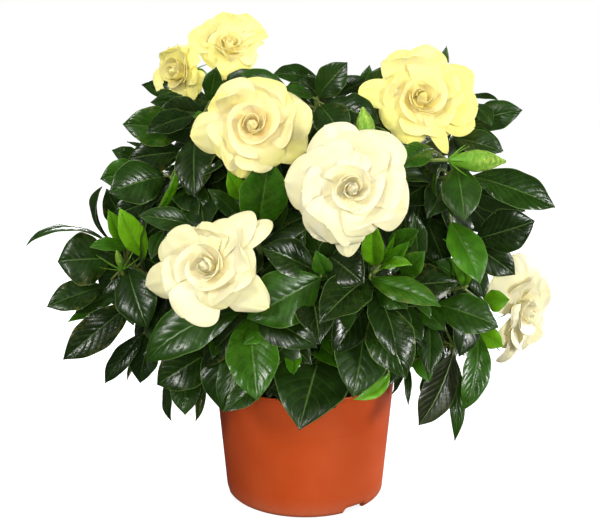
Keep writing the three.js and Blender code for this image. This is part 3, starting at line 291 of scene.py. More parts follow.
petalLook = dict(
    feel={"Roughness": 0.55, "Specular IOR Level": 0.2, "Sheen Weight": 0.04, "Subsurface Weight": 0.3,
          "Subsurface Radius": (1.0, 0.80, 0.40), "Subsurface Scale": 0.003},
    cream=(0.77, 0.715, 0.48), lemon=(0.86, 0.77, 0.21), throat=(0.78, 0.75, 0.36), line=(0.80, 0.66, 0.26),
    deep=((0.1, (0.96, 0.89, 0.60)), (0.6, (0.97, 0.79, 0.40)), (0.9, (0.97, 0.84, 0.25))),  # painted golden shade in the folds, with the heart's own apricot
    clouds=90, fuzz=700, lines=(3.0, 46.0, 1.0),  # how fine each pattern is
)


# Velvety, with fine lengthwise veins. It yellows as the flower ages. Towards the heart and in the folds it
# turns warm and golden: partly the heart's own apricot, partly painted shade.
def makePetalFinish():
    material, shader, make = newMaterial("petal", petalLook["feel"])
    own, along = ownMap(make)[:2]
    lemon, warmthAndShade = ownTint(make)[::2]
    cloud = ranged(make, noise(make, petalLook["clouds"], 2), 0.35, 0.65, -0.10, 0.10)
    colour = mixed(make, add(make, lemon, cloud, clamp=True), petalLook["cream"], petalLook["lemon"])
    # the tint's third part paints warm golden shade in the folds and at the petals' feet, with the heart's
    # own apricot
    colour = mixed(make, warmthAndShade, colour, ramp(make, lemon, petalLook["deep"]))
    throat = ranged(make, along, 0.0, 0.25, 0.4, 0, smooth=True)
    colour = mixed(make, throat, colour, petalLook["throat"])
    veins = noise(make, 1.0, 4, stretch(make, own, petalLook["lines"]), distortion=0.6)
    colour = mixed(make, ranged(make, veins, 0.30, 0.52, 0.10, 0), colour, petalLook["line"])
    join(shader, "Base Color", colour)
    fuzz = times(make, noise(make, petalLook["fuzz"], 2), 0.4)
    bump(make, shader, add(make, veins, fuzz), 0.30, 0.0005)
    return material


# Green stalks and twigs that turn to brown bark where the tint says.
def makeStemFinish(name, green, brown, barkScale, depth):
    material, shader, make = newMaterial(name, {"Specular IOR Level": 0.35})
    age = ownTint(make)[0]
    crack = noise(make, barkScale, 5, stretch(make, inObject(make), (1, 1, 0.35)), distortion=0.4)
    fleck = ranged(make, noise(make, barkScale * 2.4, 2), 0.62, 0.70, 0, 0.5)
    bark = mixed(make, ranged(make, crack, 0.38, 0.62, 0, 1), [0.42 * c for c in brown], brown)
    bark = mixed(make, fleck, bark, [min(1, 2.1 * c) for c in brown])
    fresh = mixed(make, ranged(make, crack, 0.3, 0.7, 0, 1), [0.7 * c for c in green], green)
    join(shader, "Base Color", mixed(make, age, fresh, bark))
    join(shader, "Roughness", ranged(make, age, 0, 1, 0.42, 0.85))
    bump(make, shader, crack, 0.6, depth)
    return material


potLook = dict(
    colour=(0.440, 0.057, 0.008), pale=(0.540, 0.092, 0.022), dark=(0.330, 0.034, 0.005),
    dust=(0.33, 0.22, 0.15), dustTop=0.016, scratches=0.12,
    clouds=22, streaks=(14, 14, 420), scoring=(60, 60, 900), dusting=240, grain=1500,
)


# Matt coloured plastic: faintly streaky, with fine scratches round it and a little dust by the foot.
def makePotFinish():
    material, shader, make = newMaterial("potPlastic", {"Specular IOR Level": 0.4})
    place = inObject(make)
    cloud = noise(make, potLook["clouds"], 3, place, distortion=0.5)
    colour = mixed(make, ranged(make, cloud, 0.35, 0.65, 0, 0.35), potLook["colour"], potLook["pale"])
    lines = noise(make, 1.0, 3, stretch(make, place, potLook["streaks"]))
    colour = mixed(make, ranged(make, lines, 0.55, 0.75, 0, 0.12), colour, potLook["dark"])
    up = make("SeparateXYZ", {"Vector": place}).outputs["Z"]
    low = ranged(make, up, 0.0, potLook["dustTop"], 0.35, 0, smooth=True)
    dust = times(make, low, noise(make, potLook["dusting"], 4, place))
    join(shader, "Base Color", mixed(make, dust, colour, potLook["dust"]))
    scratch = cellEdges(make, stretch(make, place, potLook["scoring"]), 1.0)
    mark = ranged(make, scratch, 0, 0.03, potLook["scratches"], 0)
    join(shader, "Roughness", add(make, ranged(make, cloud, 0.3, 0.7, 0.34, 0.44), mark))
    grain = times(make, noise(make, potLook["grain"], 2, place), 0.5)
    height = add(make, times(make, lines, 0.6), grain)
    bump(make, shader, height, 0.12, 0.0002)
    return material


soilLook = dict(
    peat=((0.30, (0.006, 0.004, 0.002)), (0.55, (0.030, 0.017, 0.009)), (0.72, (0.085, 0.050, 0.026))),
    crumb=(0.11, 0.06, 0.03), fibres=420,
)


# Dark peat with paler fibres and bark.
def makeSoilFinish():
    material, shader, make = newMaterial("pottingMix", {"Roughness": 0.95, "Specular IOR Level": 0.2})
    peat = noise(make, soilLook["fibres"], 6)
    paler = times(make, ownTint(make)[1], 0.55)
    join(shader, "Base Color", mixed(make, paler, ramp(make, peat, soilLook["peat"]), soilLook["crumb"]))
    bump(make, shader, peat, 0.9, 0.0015)
    return material


# A repeatable number from 0 to 1 for each seed.
def chance(seed):
    wide = math.sin(seed * 12.9898 + 4.137) * 43758.5453
    return wide - math.floor(wide)


def between(low, high, seed):
    return low + (high - low) * chance(seed)


# How far a value has climbed from a start over a span, from 0 to 1.
def climb(value, start, span):
    return np.clip((value - start) / span, 0, 1)


# The three parts of points or tints, each one number or a grid of them.
def stacked(*parts):
    return np.stack(np.broadcast_arrays(*parts), axis=-1)


def fullTurn(count):
    return np.linspace(0, 2 * math.pi, count, endpoint=False)


def closed(grid):
    return np.concatenate((grid, grid[:, :1]), axis=1)


# The four corners of each cell of a grid.
def cells(grid):
    return np.stack((grid[:-1, :-1], grid[:-1, 1:], grid[1:, 1:], grid[1:, :-1]), axis=-1).reshape(-1, 4)


def gridMap(rows, columns):
    return stacked(np.linspace(0, 1, rows)[:, None], np.linspace(0, 1, columns))


# A piece's surface, gathered as grids of points, each with its map, tint and material.
class Surface:
    def __init__(self):
        self.grids = []
        self.count = 0

    # A grid is rows by columns of points. Its map is (0..1, 0..1) unless one is given.
    def grid(self, points, tint=(0, 0.5, 0), slot=0, around=False, flip=False, places=None):
        points = np.asarray(points, float)
        tint = np.broadcast_to(np.asarray(tint, float), points.shape)
        if around:
            points, tint = closed(points), closed(tint)
        rows, columns = points.shape[:2]
        places = gridMap(rows, columns) if places is None else closed(places)
        index = np.arange(rows * columns).reshape(rows, columns)
        mapped = cells(index)
        if around:
            index[:, -1] = index[:, 0]
        corners = cells(index)
        if flip:
            corners, mapped = corners[:, ::-1], mapped[:, ::-1]
        self.grids.append((points.reshape(-1, 3), tint.reshape(-1, 3), corners + self.count,
                           places.reshape(-1, 2)[mapped], np.full(len(corners), slot)))
        self.count += rows * columns

    def piece(self, name, materials, node):
        points, tints, faces, maps, slots = (np.concatenate(parts) for parts in zip(*self.grids))
        used = np.unique(faces)
        fresh = np.zeros(len(points), int)
        fresh[used] = np.arange(len(used))
        mesh = bpy.data.meshes.new(name)
        mesh.from_pydata(points[used] * metre, [], fresh[faces])
        mesh.uv_layers.new(name="leafMap").data.foreach_set("uv", maps.ravel())
        colours = np.concatenate((np.clip(tints[used], 0, 1), np.ones((len(used), 1))), axis=1)
        mesh.color_attributes.new("tint", "FLOAT_COLOR", "POINT").data.foreach_set("color", colours.ravel())
        for material in materials:
            mesh.materials.append(material)
        mesh.polygons.foreach_set("material_index", slots.astype(np.int32))
        mesh.shade_smooth()
        mesh.validate()
        made = link(name, mesh)
        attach(made, "root")
        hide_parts(node)
        return made


# Points along a curve through 3 or 4 control points.
def bezier(controls, t):
    controls = np.asarray(controls, float)
    t = np.asarray(t, float)[..., None]
    order = len(controls) - 1
    return sum(math.comb(order, k) * t ** k * (1 - t) ** (order - k) * controls[k] for k in range(order + 1))


def heading(controls, t):
    nearby = 1e-3
    return unit(bezier(controls, np.asarray(t) + nearby) - bezier(controls, np.asarray(t) - nearby))


# Two directions square to a line of points, carried along it without twisting, and the line's own.
def carriedFrames(line):
    along = unit(np.gradient(line, axis=0))
    first = np.cross(along[0], upward if abs(along[0][2]) < 0.9 else (1.0, 0.0, 0.0))
    sides = [unit(first)]
    for direction in along[1:]:
        sides.append(unit(sides[-1] - direction * np.dot(sides[-1], direction)))
    sides = np.array(sides)
    return sides, np.cross(along, sides), along


tubeEnd = ((0.55, 0.62), (0.8, 0.04))  # its rings: how far past the line, how wide, in shares of the radius


# A closed tube along a line. The radii and the tint may each be given for every place, and for
# every side of every place too. One tint may serve for the whole tube.
def tube(surface, line, radii, sides, tint, slot=0):
    line = np.asarray(line, float)
    across, over, along = carriedFrames(line)
    turn = fullTurn(sides)[None, :, None]
    radii = np.asarray(radii, float)
    radii = radii[:, None] if radii.ndim == 1 else radii
    ring = np.cos(turn) * across[:, None] + np.sin(turn) * over[:, None]
    points = line[:, None] + ring * radii[..., None]
    last = points[-1] - line[-1]
    reach = np.mean(np.linalg.norm(last, axis=1))
    start = [line[0] + (points[0] - line[0]) * 0.01]
    end = [line[-1] + along[-1] * reach * past + last * wide for past, wide in tubeEnd]
    tint = np.asarray(tint, float)
    tint = np.broadcast_to(tint[:, None] if tint.ndim == 2 else tint, points.shape)
    tint = np.concatenate((tint[:1], tint, tint[-1:], tint[-1:]))
    surface.grid(np.concatenate((start, points, end)), tint, slot, around=True)


# The edge of a grid of points, all the way round.
def border(points):
    return np.concatenate((points[0], points[1:, -1], points[-1, -2::-1], points[-2:0:-1, 0]))


# A thin blade: its upper points, its lower ones, and the narrow band that closes it.
def blade(surface, upper, lower, tint, upperSlot, lowerSlot):
    tint = np.broadcast_to(tint, upper.shape)
    surface.grid(upper, tint, upperSlot)
    surface.grid(lower, tint, lowerSlot, flip=True)
    places = border(gridMap(*upper.shape[:2]))
    rimTint = border(tint)
    surface.grid(np.stack((border(lower), border(upper))), np.stack((rimTint, rimTint)), upperSlot,
                 around=True, places=np.stack((places, places)))


# Two directions turned together about the line that they are square to.
def rolled(side, over, angle):
    c, s = np.cos(angle)[:, None], np.sin(angle)[:, None]
    return side * c + over * s, over * c - side * s


# A place that the eye sees at so far across and up, on the upright plane through the pot's axis,
# moved along its line of sight to its own depth, which is its y.
def seen(place):
    across, up, depth = place
    eye = np.array(view["eye"], float)
    return eye + (np.array((across, 0, up)) - eye) * (depth - eye[1]) / -eye[1]


woodyStem = dict(
    trunk=((3, 2, 44), (1, 3, 78), (-2, 0, 112)), trunkRadii=(7.5, 5.2), limbRadii=(4, 2.1), knuckle=0.35,
    limbEnds=((-76, -30, 148), (-24, -62, 146), (46, -60, 148), (84, -18, 150), (-52, -26, 222),
              (-2, -34, 240), (62, -28, 226), (4, 66, 150), (-66, 46, 176), (64, 50, 180), (-2, 40, 240)),
    twigRadii=(1.9, 1.2), twigRing=0.45, stalkRadius=0.8,
    trunkGrid=(70, 40), limbGrid=(46, 20), twigGrid=(40, 10), stalkGrid=(14, 8),  # places, and sides
    bark=(0.150, 0.100, 0.055), twig=(0.120, 0.075, 0.035), green=(0.150, 0.210, 0.045),
)


# Each limb leaves the trunk's head and rises over a knee to its end.
def limbCurves():
    curves = []
    for i, end in enumerate(woodyStem["limbEnds"]):
        foot = np.array(woodyStem["trunk"][2], float) + (0, 0, -4 - 10 * chance(i))
        knee = (foot + end) / 2 * (0.8, 0.8, 1) + (0, 0, 0.08 * np.linalg.norm(end - foot))
        curves.append(np.array((foot, knee, end), float))
    return curves


limbs = limbCurves()


# A twig leaves the nearest limb and arrives at its end along a given direction.
def twigCurve(end, arrive):
    nearest = None
    for curve in limbs:
        for t in np.arange(0.4, 1.01, 0.1):
            place = bezier(curve, min(t, 1))
            far = np.linalg.norm(place - end)
            if nearest is None or far < nearest[0]:
                nearest = (far, place, heading(curve, min(t, 1)))
    far, start, along = nearest
    reach = 0.4 * far
    return np.array((start, start + along * reach * 0.6, end - arrive * reach, end))


# Bark swells in ridges along a stem and in rings where old leaves stood.
def barkRadii(low, high, rows, sides, seed, rough):
    t = np.linspace(0, 1, rows)[:, None]
    turn = fullTurn(sides)[None, :]
    radii = low + (high - low) * t
    for k in range(5):
        wave = np.sin((2 + k) * turn + 7 * between(-1, 1, seed + k) * t + 6 * chance(seed + k + 0.5))
        radii = radii * (1 + rough * wave / (1 + 0.6 * k))
    for k in range(4):
        ring = np.exp(-((t - between(0.1, 0.95, seed + 0.11 * k)) / 0.012) ** 2)
        radii = radii * (1 + 0.10 * ring)
    return radii


def makeWoodyStem(finish, twigs):
    surface = Surface()
    rows, sides = woodyStem["trunkGrid"]
    t = np.linspace(0, 1, rows)
    radii = barkRadii(*woodyStem["trunkRadii"], rows, sides, 3, 0.05)
    cutBack = 1 + woodyStem["knuckle"] * np.exp(-((t - 1) / 0.10) ** 2)
    tube(surface, bezier(woodyStem["trunk"], t), radii * cutBack[:, None], sides, (1, 0.5, 0))
    rows, sides = woodyStem["limbGrid"]
    for i, curve in enumerate(limbs):
        radii = barkRadii(*woodyStem["limbRadii"], rows, sides, 11 + i, 0.035)
        tube(surface, bezier(curve, np.linspace(0, 1, rows)), radii, sides, (1, 0.5, 0))
    for curve in twigs:
        addTwig(surface, curve)
    surface.piece("woody_stem_bark", [finish], "woody_stem")


# A twig greens towards its tip, with a ring where each pair of leaves stands.
def addTwig(surface, curve, rings=(), slot=0):
    rows, sides = woodyStem["twigGrid"]
    t = np.linspace(0, 1, rows)
    low, high = woodyStem["twigRadii"]
    radii = low + (high - low) * t
    for place in rings:
        radii = radii + woodyStem["twigRing"] * np.exp(-((t - place) / 0.025) ** 2)
    tube(surface, bezier(curve, t), radii, sides, stacked(np.clip(1.15 - 1.5 * t, 0, 1), 0.5, 0), slot)


leafShape = dict(
    grid=(56, 17), ringGrid=(40, 13),  # points along and across a leaf at the front, and elsewhere
    lean=8, thickness=0.36, rib=0.55, groove=0.35, quilting=0.0120, margin=0.025, wave=0.05,
    twist=16, tilt=5, curl=(0.05, 0.26), tipDrop=0.05,
)
plainLeaf = dict(bow=0.08, bend=0, fold=14)


# The line along the middle of a leaf, the way that its upper side looks, and its length.
def leafLine(leaf, u):
    base, tip = leaf["base"], leaf["tip"]
    chord = tip - base
    length = np.linalg.norm(chord)
    along = chord / length
    face = np.array(leaf["face"], float)
    normal = unit(face - along * np.dot(face, along))
    side = np.cross(along, normal)
    arch = (4 * u * (1 - u) * length)[..., None]
    line = base + u[..., None] * chord + normal * leaf["bow"] * arch + side * leaf["bend"] * arch
    return line, normal, length


def leafWidth(u):
    return np.sin(math.pi * np.clip(u, 0, 1) ** 1.06) ** 0.85 * (1 - 0.30 * climb(u, 0.8, 0.2) ** 2)


def addLeaf(surface, leaf, seed, along, across):
    u = np.linspace(0.001, 0.999, along)
    line, normal, length = leafLine(leaf, u)
    ahead = unit(np.gradient(line, axis=0))
    side = unit(np.cross(ahead, normal))
    twist, tilt = leafShape["twist"], leafShape["tilt"]
    twist = math.radians(between(-twist, twist, seed + 0.2)) * (u - 0.35)
    side, over = rolled(side, np.cross(side, ahead), twist + math.radians(between(-tilt, tilt, seed + 0.3)))
    u = u[:, None]
    v = np.linspace(-1, 1, across)[None, :]
    v = np.sign(v) * np.abs(v) ** 1.15
    edge = np.abs(v)
    half = np.maximum(leaf["wide"] / 2 * leafWidth(u), 0.35)
    uneven = np.sin(2 * math.pi * (3.3 * u + chance(seed)) + 1.3 * np.sign(v))
    fold = math.radians(leaf["fold"])
    sideways = half * (1 + leafShape["margin"] * uneven * edge ** 3) * v * math.cos(fold)
    rise = half * (edge * math.sin(fold) - between(*leafShape["curl"], seed + 0.4) * edge ** 2.6)
    # the edge waves, more on one side than the other
    beat = 2 * math.pi * (between(1.6, 3.2, seed + 0.5) * u + chance(seed + 0.6)) + 0.9 * np.sign(v)
    oneSided = 1 + 0.6 * between(-1, 1, seed) * np.sign(v)
    rise = rise + leafShape["wave"] * half * edge ** 2.2 * np.sin(beat) * oneSided
    # the blade swells between its side veins, which sweep towards the tip
    phase = leafVeins["pairs"] * (u - leafVeins["sweep"] * edge ** 1.1) + leafVeins["stagger"] * (v < 0)
    swell = np.abs(np.sin(math.pi * phase)) ** 0.8
    fading = climb(edge, 0, 0.16) * climb(1 - edge, 0, 0.22) * climb(half, 0, 0.3 * half.max())
    rise = rise + leafShape["quilting"] * length * swell * fading
    rib = np.exp(-(v * half / 0.95) ** 2) * np.clip(1.4 - u, 0.3, 1)
    drop = between(0.0, leafShape["tipDrop"], seed + 0.7) * length * climb(u, 0.72, 0.28) ** 2
    upper = line[:, None] + side[:, None] * sideways[..., None]
    upper = upper + over[:, None] * (rise - leafShape["groove"] * rib - drop)[..., None]
    thick = leafShape["thickness"] * (1 - 0.45 * edge ** 4) + leafShape["rib"] * rib
    lower = upper - over[:, None] * thick[..., None]
    age = leaf["age"] + between(-0.04, 0.04, seed + 0.8) + 0.05 * between(-1, 1, seed + 0.9) * v
    age = age + 0.06 * (edge ** 2) * (leaf["age"] > 0.2)
    wear = np.clip(chance(seed + 1.1) * 1.6 - 1.1, 0, 0.5) * edge ** 3
    blade(surface, upper, lower, stacked(age, chance(seed + 1.2), wear), 0, 1)


# A stalk leaves the nearest place on the twig and runs into the foot of the blade.
def addStalk(surface, leaf, curve):
    places = bezier(curve, np.linspace(0.3, 1, 15))
    start = places[np.argmin(np.linalg.norm(places - leaf["base"], axis=1))]
    line, normal = leafLine(leaf, np.array((0.0, 0.05, 0.16)))[:2]
    foot = line[1] - normal * (leafShape["groove"] + 0.5)
    knee = (line[0] * 1.6 - line[2] * 0.6 + start) / 2
    rows, sides = woodyStem["stalkGrid"]
    path = bezier((start, knee, line[0] - normal * 0.7, foot), np.linspace(0, 1, rows))
    radii = np.linspace(woodyStem["stalkRadius"] * 1.15, woodyStem["stalkRadius"] * 0.75, rows)
    tube(surface, path, radii, sides, (0.05 + 0.25 * (leaf["age"] < 0.25), 0.5, 0), 2)


# Each shoot's own end, then the leaves on it: foot and tip as seen, width, age from 0, old and
# dark, to 1, new, and the way the upper side looks. A last value says how a leaf differs from
# plainLeaf: how far its middle arches up (bow) and sideways (bend) as a share of the length, and
# the angle that lifts both halves (fold).
frontShoots = {
    "left_tuft": ((-128, 168, -50), [
        ((-141, 185, -50), (-199.5, 183, -50), 19, 0.2, (0, -0.15, 1), dict(bow=0.18)),
        ((-141, 187, -50), (-144, 224, -42), 20, 0.1, (-1, -0.45, 0), dict(bow=0.14)),
        ((-122, 190, -40), (-140, 222, -34), 20, 0.1, (-0.2, -1, 0.1)),
        ((-114, 172, -66), (-131, 208, -66), 17, 0.95, (0.1, -1, 0.3)),
        ((-129, 180, -58), (-139, 207, -54), 11, 0.75, (0.4, -1, 0.2)),
        ((-126, 180, -64), (-153, 181, -66), 13, 0.45, (0, -1, 0.8)),
        ((-138, 172, -54), (-177, 170, -50), 37, 0.1, (-0.2, -1, 0.3)),
        ((-144, 152, -54), (-186, 137, -54), 22, 0.15, (0, -1, 0.6), dict(bow=0.04)),
        ((-126, 170, -46), (-146, 146, -42), 22, 0.05, (-0.1, -1, 0.2)),
        ((-122, 172, -46), (-148, 178, -42), 17, 0.05, (0, -1, 0.2)),
        ((-124, 178, -40), (-94, 162, -36), 24, 0.05, (0, -1, 0.2)),
        ((-128, 152, -44), (-166, 132, -42), 15, 0.1, (0, -1, 0.4)),
        ((-150, 134, -40), (-171, 126, -42), 7, 0.5, (0, -1, 0.5)),
        ((-124, 140, -58), (-176, 97, -62), 25, 0.02, (-0.1, -1, 0.1), dict(bow=0.05)),
        ((-127, 166, -68), (-114, 121, -76), 29, 0.12, (0, -1, 0.1)),
    ]),
    "low_left": ((-112, 124, -46), [
        ((-116, 118, -48), (-147, 79, -42), 15, 0.05, (-0.3, -1, 0.2)),
        ((-108, 122, -40), (-92, 96, -24), 24, 0.1, (0, -1, 0.4)),
        ((-110, 122, -38), (-121, 79, -32), 22, 0.03, (-0.1, -1, 0.2)),
    ]),
    "hanging_left": ((-84, 100, -50), [
        ((-64, 106, -70), (-109, 78, -64), 31, 0.08, (0, -1, 0.3)),
        ((-97, 90, -52), (-100, 50, -48), 17, 0.15, (-1, -0.5, 0), dict(fold=10)),
        ((-87, 94, -54), (-88, 55, -54), 21, 0.2, (0.1, -1, -0.1)),
        ((-80, 94, -46), (-79, 50, -44), 12, 0.25, (0.8, -0.6, 0)),
    ]),
    "front_low": ((-42, 134, -98), [
        ((-40, 131, -104), (-35, 66, -124), 33, 0.44, (0, -1, 0.35), dict(bow=0.06)),
        ((-45, 134, -100), (-117, 95, -94), 32, 0.22, (-0.1, -1, 0.35), dict(bend=0.08)),
        ((-44, 112, -92), (-60, 57, -98), 21, 0.15, (0.1, -1, 0.5)),
        ((-28, 92, -96), (-61, 58, -102), 17, 0.15, (0.2, -1, 0.7), dict(bend=-0.08)),
        ((-16, 100, -88), (-27, 68, -94), 20, 0.05, (0, -1, 0.4)),
        ((-56, 122, -84), (-60, 57, -86), 31, 0.1, (-0.1, -1, 0.1)),
        ((-58, 128, -80), (-67, 98, -92), 13, 0.3, (0, -1, 0.2)),
    ]),
    "centre": ((10, 160, -102), [
        ((12, 158, -116), (-42, 128, -115), 36, 0.25, (0.1, -1, 0.3), dict(bow=0.05)),
        ((8, 162, -110), (-31, 180, -106), 24, 0.1, (0, -1, 0.7)),
        ((18, 174, -108), (42, 154, -116), 27, 0.02, (0, -1, 0.2)),
        ((13, 165, -96), (30, 190, -94), 20, 0.05, (0, -1, 0.2)),
        ((16, 160, -112), (8, 177, -118), 12, 0.45, (-0.2, -1, 0.4)),
    ]),
    "right_rosette": ((50, 163, -106), [
        ((50, 166, -110), (48, 200, -116), 16, 0.8, (-0.2, -1, 0.1), dict(fold=32)),
        ((53, 165, -112), (76, 168, -120), 11, 0.8, (0, -1, 0.9)),
        ((46, 157, -114), (98, 138, -126), 19, 0.42, (0.1, -1, 0.8), dict(bow=0.05)),
        ((70, 158, -106), (85, 177, -106), 15, 0.5, (0, -1, 0.6)),
        ((54, 167, -106), (64, 189, -110), 4, 0.7, (0, -1, 0.2)),
        ((57, 166, -106), (74, 184, -106), 9, 0.6, (0, -1, 0.3)),
        ((58, 176, -98), (81, 193, -98), 14, 0.45, (0, -1, 0.5)),
        ((80, 165, -94), (77, 205, -90), 15, 0.2, (0.2, -1, 0.1)),
        ((74, 148, -104), (91, 128, -112), 9, 0.35, (0.3, -1, 0.6)),
        ((52, 151, -100), (74, 136, -106), 18, 0.3, (0, -1, 0.3)),
        ((52, 138, -102), (74, 83, -120), 31, 0.15, (-0.15, -1, 0.3), dict(bow=0.06)),
        ((41, 154, -108), (41, 140, -112), 7, 0.5, (0, -1, 0.3)),
        ((44, 128, -92), (36, 69, -110), 35, 0.12, (0.1, -1, 0.3), dict(bow=0.05)),
        ((62, 88, -98), (36, 67, -106), 9, 0.75, (0.3, -1, 0.5), dict(bend=-0.1)),
    ]),
    "pot_front": ((8, 114, -80), [
        ((12, 104, -82), (-4, 45, -124), 50, 0.03, (0, -1, 0.55), dict(fold=20)),
        ((-8, 118, -86), (-28, 72, -100), 14, 0.15, (-0.3, -1, 0.1)),
        ((-8, 108, -94), (-9, 85, -102), 11, 0.55, (0, -1, 0.3)),
        ((24, 98, -86), (-8, 89, -90), 12, 0.1, (0, -1, 0)),
        ((34, 112, -70), (44, 71, -86), 30, 0.2, (0.3, -1, 0.3)),
        ((-22, 112, -74), (-38, 70, -88), 26, 0.1, (-0.2, -1, 0.2)),
        ((58, 112, -62), (62, 78, -74), 24, 0.1, (0.3, -1, 0.2)),
        ((-6, 124, -90), (41, 141, -98), 34, 0.15, (0, -1, 0.2)),
        ((2, 132, -100), (15, 121, -108), 10, 0.75, (0, -1, 0.4)),
    ]),
    "right_low": ((108, 108, -60), [
        ((108, 104, -66), (84, 47, -76), 23, 0.06, (0.1, 1, -0.1), dict(bend=0.06)),
        ((107, 104, -56), (112, 34, -58), 12, 0.25, (0.2, -1, 0)),
        ((125, 119, -62), (116, 58, -66), 20, 0.42, (0.2, -1, 0.2), dict(bend=-0.04, fold=20)),
        ((124, 119, -52), (144, 107, -50), 15, 0.8, (0, -1, 0.2)),
        ((94, 139, -90), (141, 122, -86), 27, 0.25, (0.1, -1, 0.5)),
        ((82, 138, -84), (102, 119, -82), 14, 0.3, (0, -1, 0.4)),
        ((90, 127, -80), (91, 86, -88), 17, 0.1, (0, -1, 0.3)),
        ((80, 108, -78), (91, 80, -80), 14, 0.4, (0, -1, 0.2)),
        ((73, 94, -98), (75, 63, -102), 6, 0.1, (-0.6, -1, 0), dict(bend=-0.12)),
    ]),
    "right_mid": ((116, 152, -70), [
        ((112, 151, -80), (104, 171, -86), 9, 0.7, (-0.3, -1, 0.3), dict(bend=0.15)),
        ((106, 168, -74), (98, 185, -80), 5, 0.8, (-0.3, -1, 0.3), dict(bend=0.2)),
        ((128, 140, -66), (147, 142, -64), 15, 0.75, (0, -1, 0.3)),
        ((112, 154, -60), (92, 170, -62), 18, 0.3, (0, -1, 0.5)),
        ((112, 186, -50), (151, 160, -46), 24, 0.08, (0.2, -1, 0.2)),
        ((116, 172, -52), (129, 143, -48), 15, 0.1, (0.2, -1, 0.2)),
        ((82, 172, -50), (96, 148, -48), 20, 0.05, (0, -1, 0.2)),
    ]),
    "right_high": ((106, 236, -72), [
        ((106, 238, -86), (113, 199, -96), 25, 0.2, (0, -1, 0.3)),
        ((93, 237, -78), (92, 216, -82), 6, 0.3, (-0.8, -0.6, 0)),
        ((97, 223, -76), (105, 202, -80), 8, 0.15, (0, -1, 0.2)),
        ((117, 231, -76), (177, 209, -66), 27, 0.2, (0.1, -1, 0.6), dict(bow=0.06)),
        ((121, 186, -62), (163, 199, -54), 30, 0.12, (0.1, -1, 0.1)),
        ((103, 199, -86), (126, 154, -94), 24, 0.46, (0.1, -1, 0.4), dict(bow=0.07)),
        ((90, 250, -80), (62, 238, -90), 17, 0.4, (0, -1, 0.4)),
        ((110, 222, -54), (156, 206, -50), 20, 0.05, (0.1, -1, 0.3)),
        ((84, 204, -50), (101, 164, -46), 22, 0.05, (0, -1, 0.2)),
        ((96, 208, -48), (114, 178, -44), 21, 0.05, (0, -1, 0.2)),
        ((95, 241, -60), (68, 226, -58), 20, 0.05, (0, -1, 0.3)),
        ((102, 263, -46), (70, 245, -44), 22, 0.05, (0, -1, 0.3)),
        ((92, 228, -56), (64, 212, -52), 22, 0.05, (0, -1, 0.3)),
        ((108, 216, -46), (137, 190, -42), 24, 0.05, (0, -1, 0.3)),
    ]),
    "top_right": ((112, 268, -28), [
        ((112, 267, -34), (151, 277, -30), 21, 0.12, (0, -1, 0.4)),
        ((110, 284, -24), (134, 284, -24), 10, 0.2, (0, -0.5, 1), dict(bow=0.1)),
        ((102, 262, -40), (139, 249, -42), 17, 0.15, (0, -1, 0.5)),
        ((116, 281, -40), (130, 266, -46), 13, 0.2, (0, -1, 0.5)),
        ((90, 290, -20), (97, 320, -14), 9, 0.3, (0, -1, 0)),
        ((103, 258, -52), (138, 248, -48), 18, 0.05, (0, -1, 0.3)),
    ]),
    "top_centre": ((8, 284, -60), [
        ((10, 297, -50), (-23, 301, -46), 16, 0.2, (0, -1, 0.8)),
        ((-12, 291, -60), (-45, 302, -54), 13, 0.25, (0, -1, 0.5)),
        ((8, 285, -68), (29, 309, -62), 20, 0.12, (0, -1, 0.3)),
        ((40, 280, -44), (44, 307, -40), 12, 0.25, (0, -1, 0.3)),
        ((12, 281, -72), (52, 268, -76), 24, 0.1, (0, -1, 0.5)),
        ((10, 280, -74), (28, 256, -84), 24, 0.1, (0, -1, 0.4)),
        ((6, 285, -72), (-16, 291, -78), 10, 0.3, (0, -1, 0.5)),
        ((16, 284, -52), (45, 297, -46), 17, 0.05, (0, -1, 0.4)),
        ((-6, 283, -56), (-34, 289, -50), 18, 0.05, (0, -1, 0.4)),
        ((22, 268, -60), (6, 240, -64), 22, 0.05, (0, -1, 0.2)),
        ((18, 279, -56), (-4, 298, -50), 17, 0.05, (0, -1, 0.3)),
        ((30, 296, -50), (58, 258, -46), 27, 0.05, (0, -1, 0.3)),
        ((43, 282, -56), (55, 307, -52), 15, 0.15, (0, -1, 0.3)),
    ]),
    "top_left": ((-72, 272, -50), [
        ((-62, 280, -26), (-113, 294, 6), 18, 0.15, (-0.2, -1, 0.6)),
        ((-78, 281, -30), (-107, 282, -28), 13, 0.1, (0, -1, 0.3)),
        ((-77, 273, -58), (-111, 261, -62), 18, 0.1, (0, -1, 0.6)),
        ((-82, 262, -48), (-127, 267, -46), 27, 0.3, (0, -1, 0.2)),
        ((-104, 246, -46), (-124, 255, -44), 4, 0.1, (0, -1, 0.5)),
        ((-77, 258, -64), (-78, 216, -74), 25, 0.05, (0, -1, 0.2)),
        ((-66, 270, -62), (-77, 272, -66), 9, 0.6, (0, -1, 0.4)),
        ((-66, 282, -34), (-61, 306, -28), 14, 0.3, (0, -1, 0.1)),
        ((-68, 274, -44), (-102, 276, -38), 20, 0.05, (0, -1, 0.3)),
        ((-66, 268, -50), (-98, 259, -46), 22, 0.05, (0, -1, 0.3)),
        ((-58, 284, -30), (-34, 304, -24), 17, 0.1, (0, -1, 0.3)),
    ]),
    "left": ((-94, 230, -58), [
        ((-112, 234, -50), (-144, 229, -48), 21, 0.35, (-0.2, -1, 0.2)),
        ((-112, 240, -40), (-135, 249, -36), 13, 0.1, (0, -1, 0.3)),
        ((-98, 231, -68), (-138, 219, -72), 30, 0.15, (0, -1, 0.4)),
        ((-106, 203, -76), (-90, 234, -78), 12, 0.7, (0.8, -0.6, 0.1)),
        ((-75, 195, -84), (-118, 203, -84), 16, 0.15, (0, -1, 0.5)),
        ((-100, 192, -80), (-110, 172, -88), 11, 0.2, (0, -1, 0.3)),
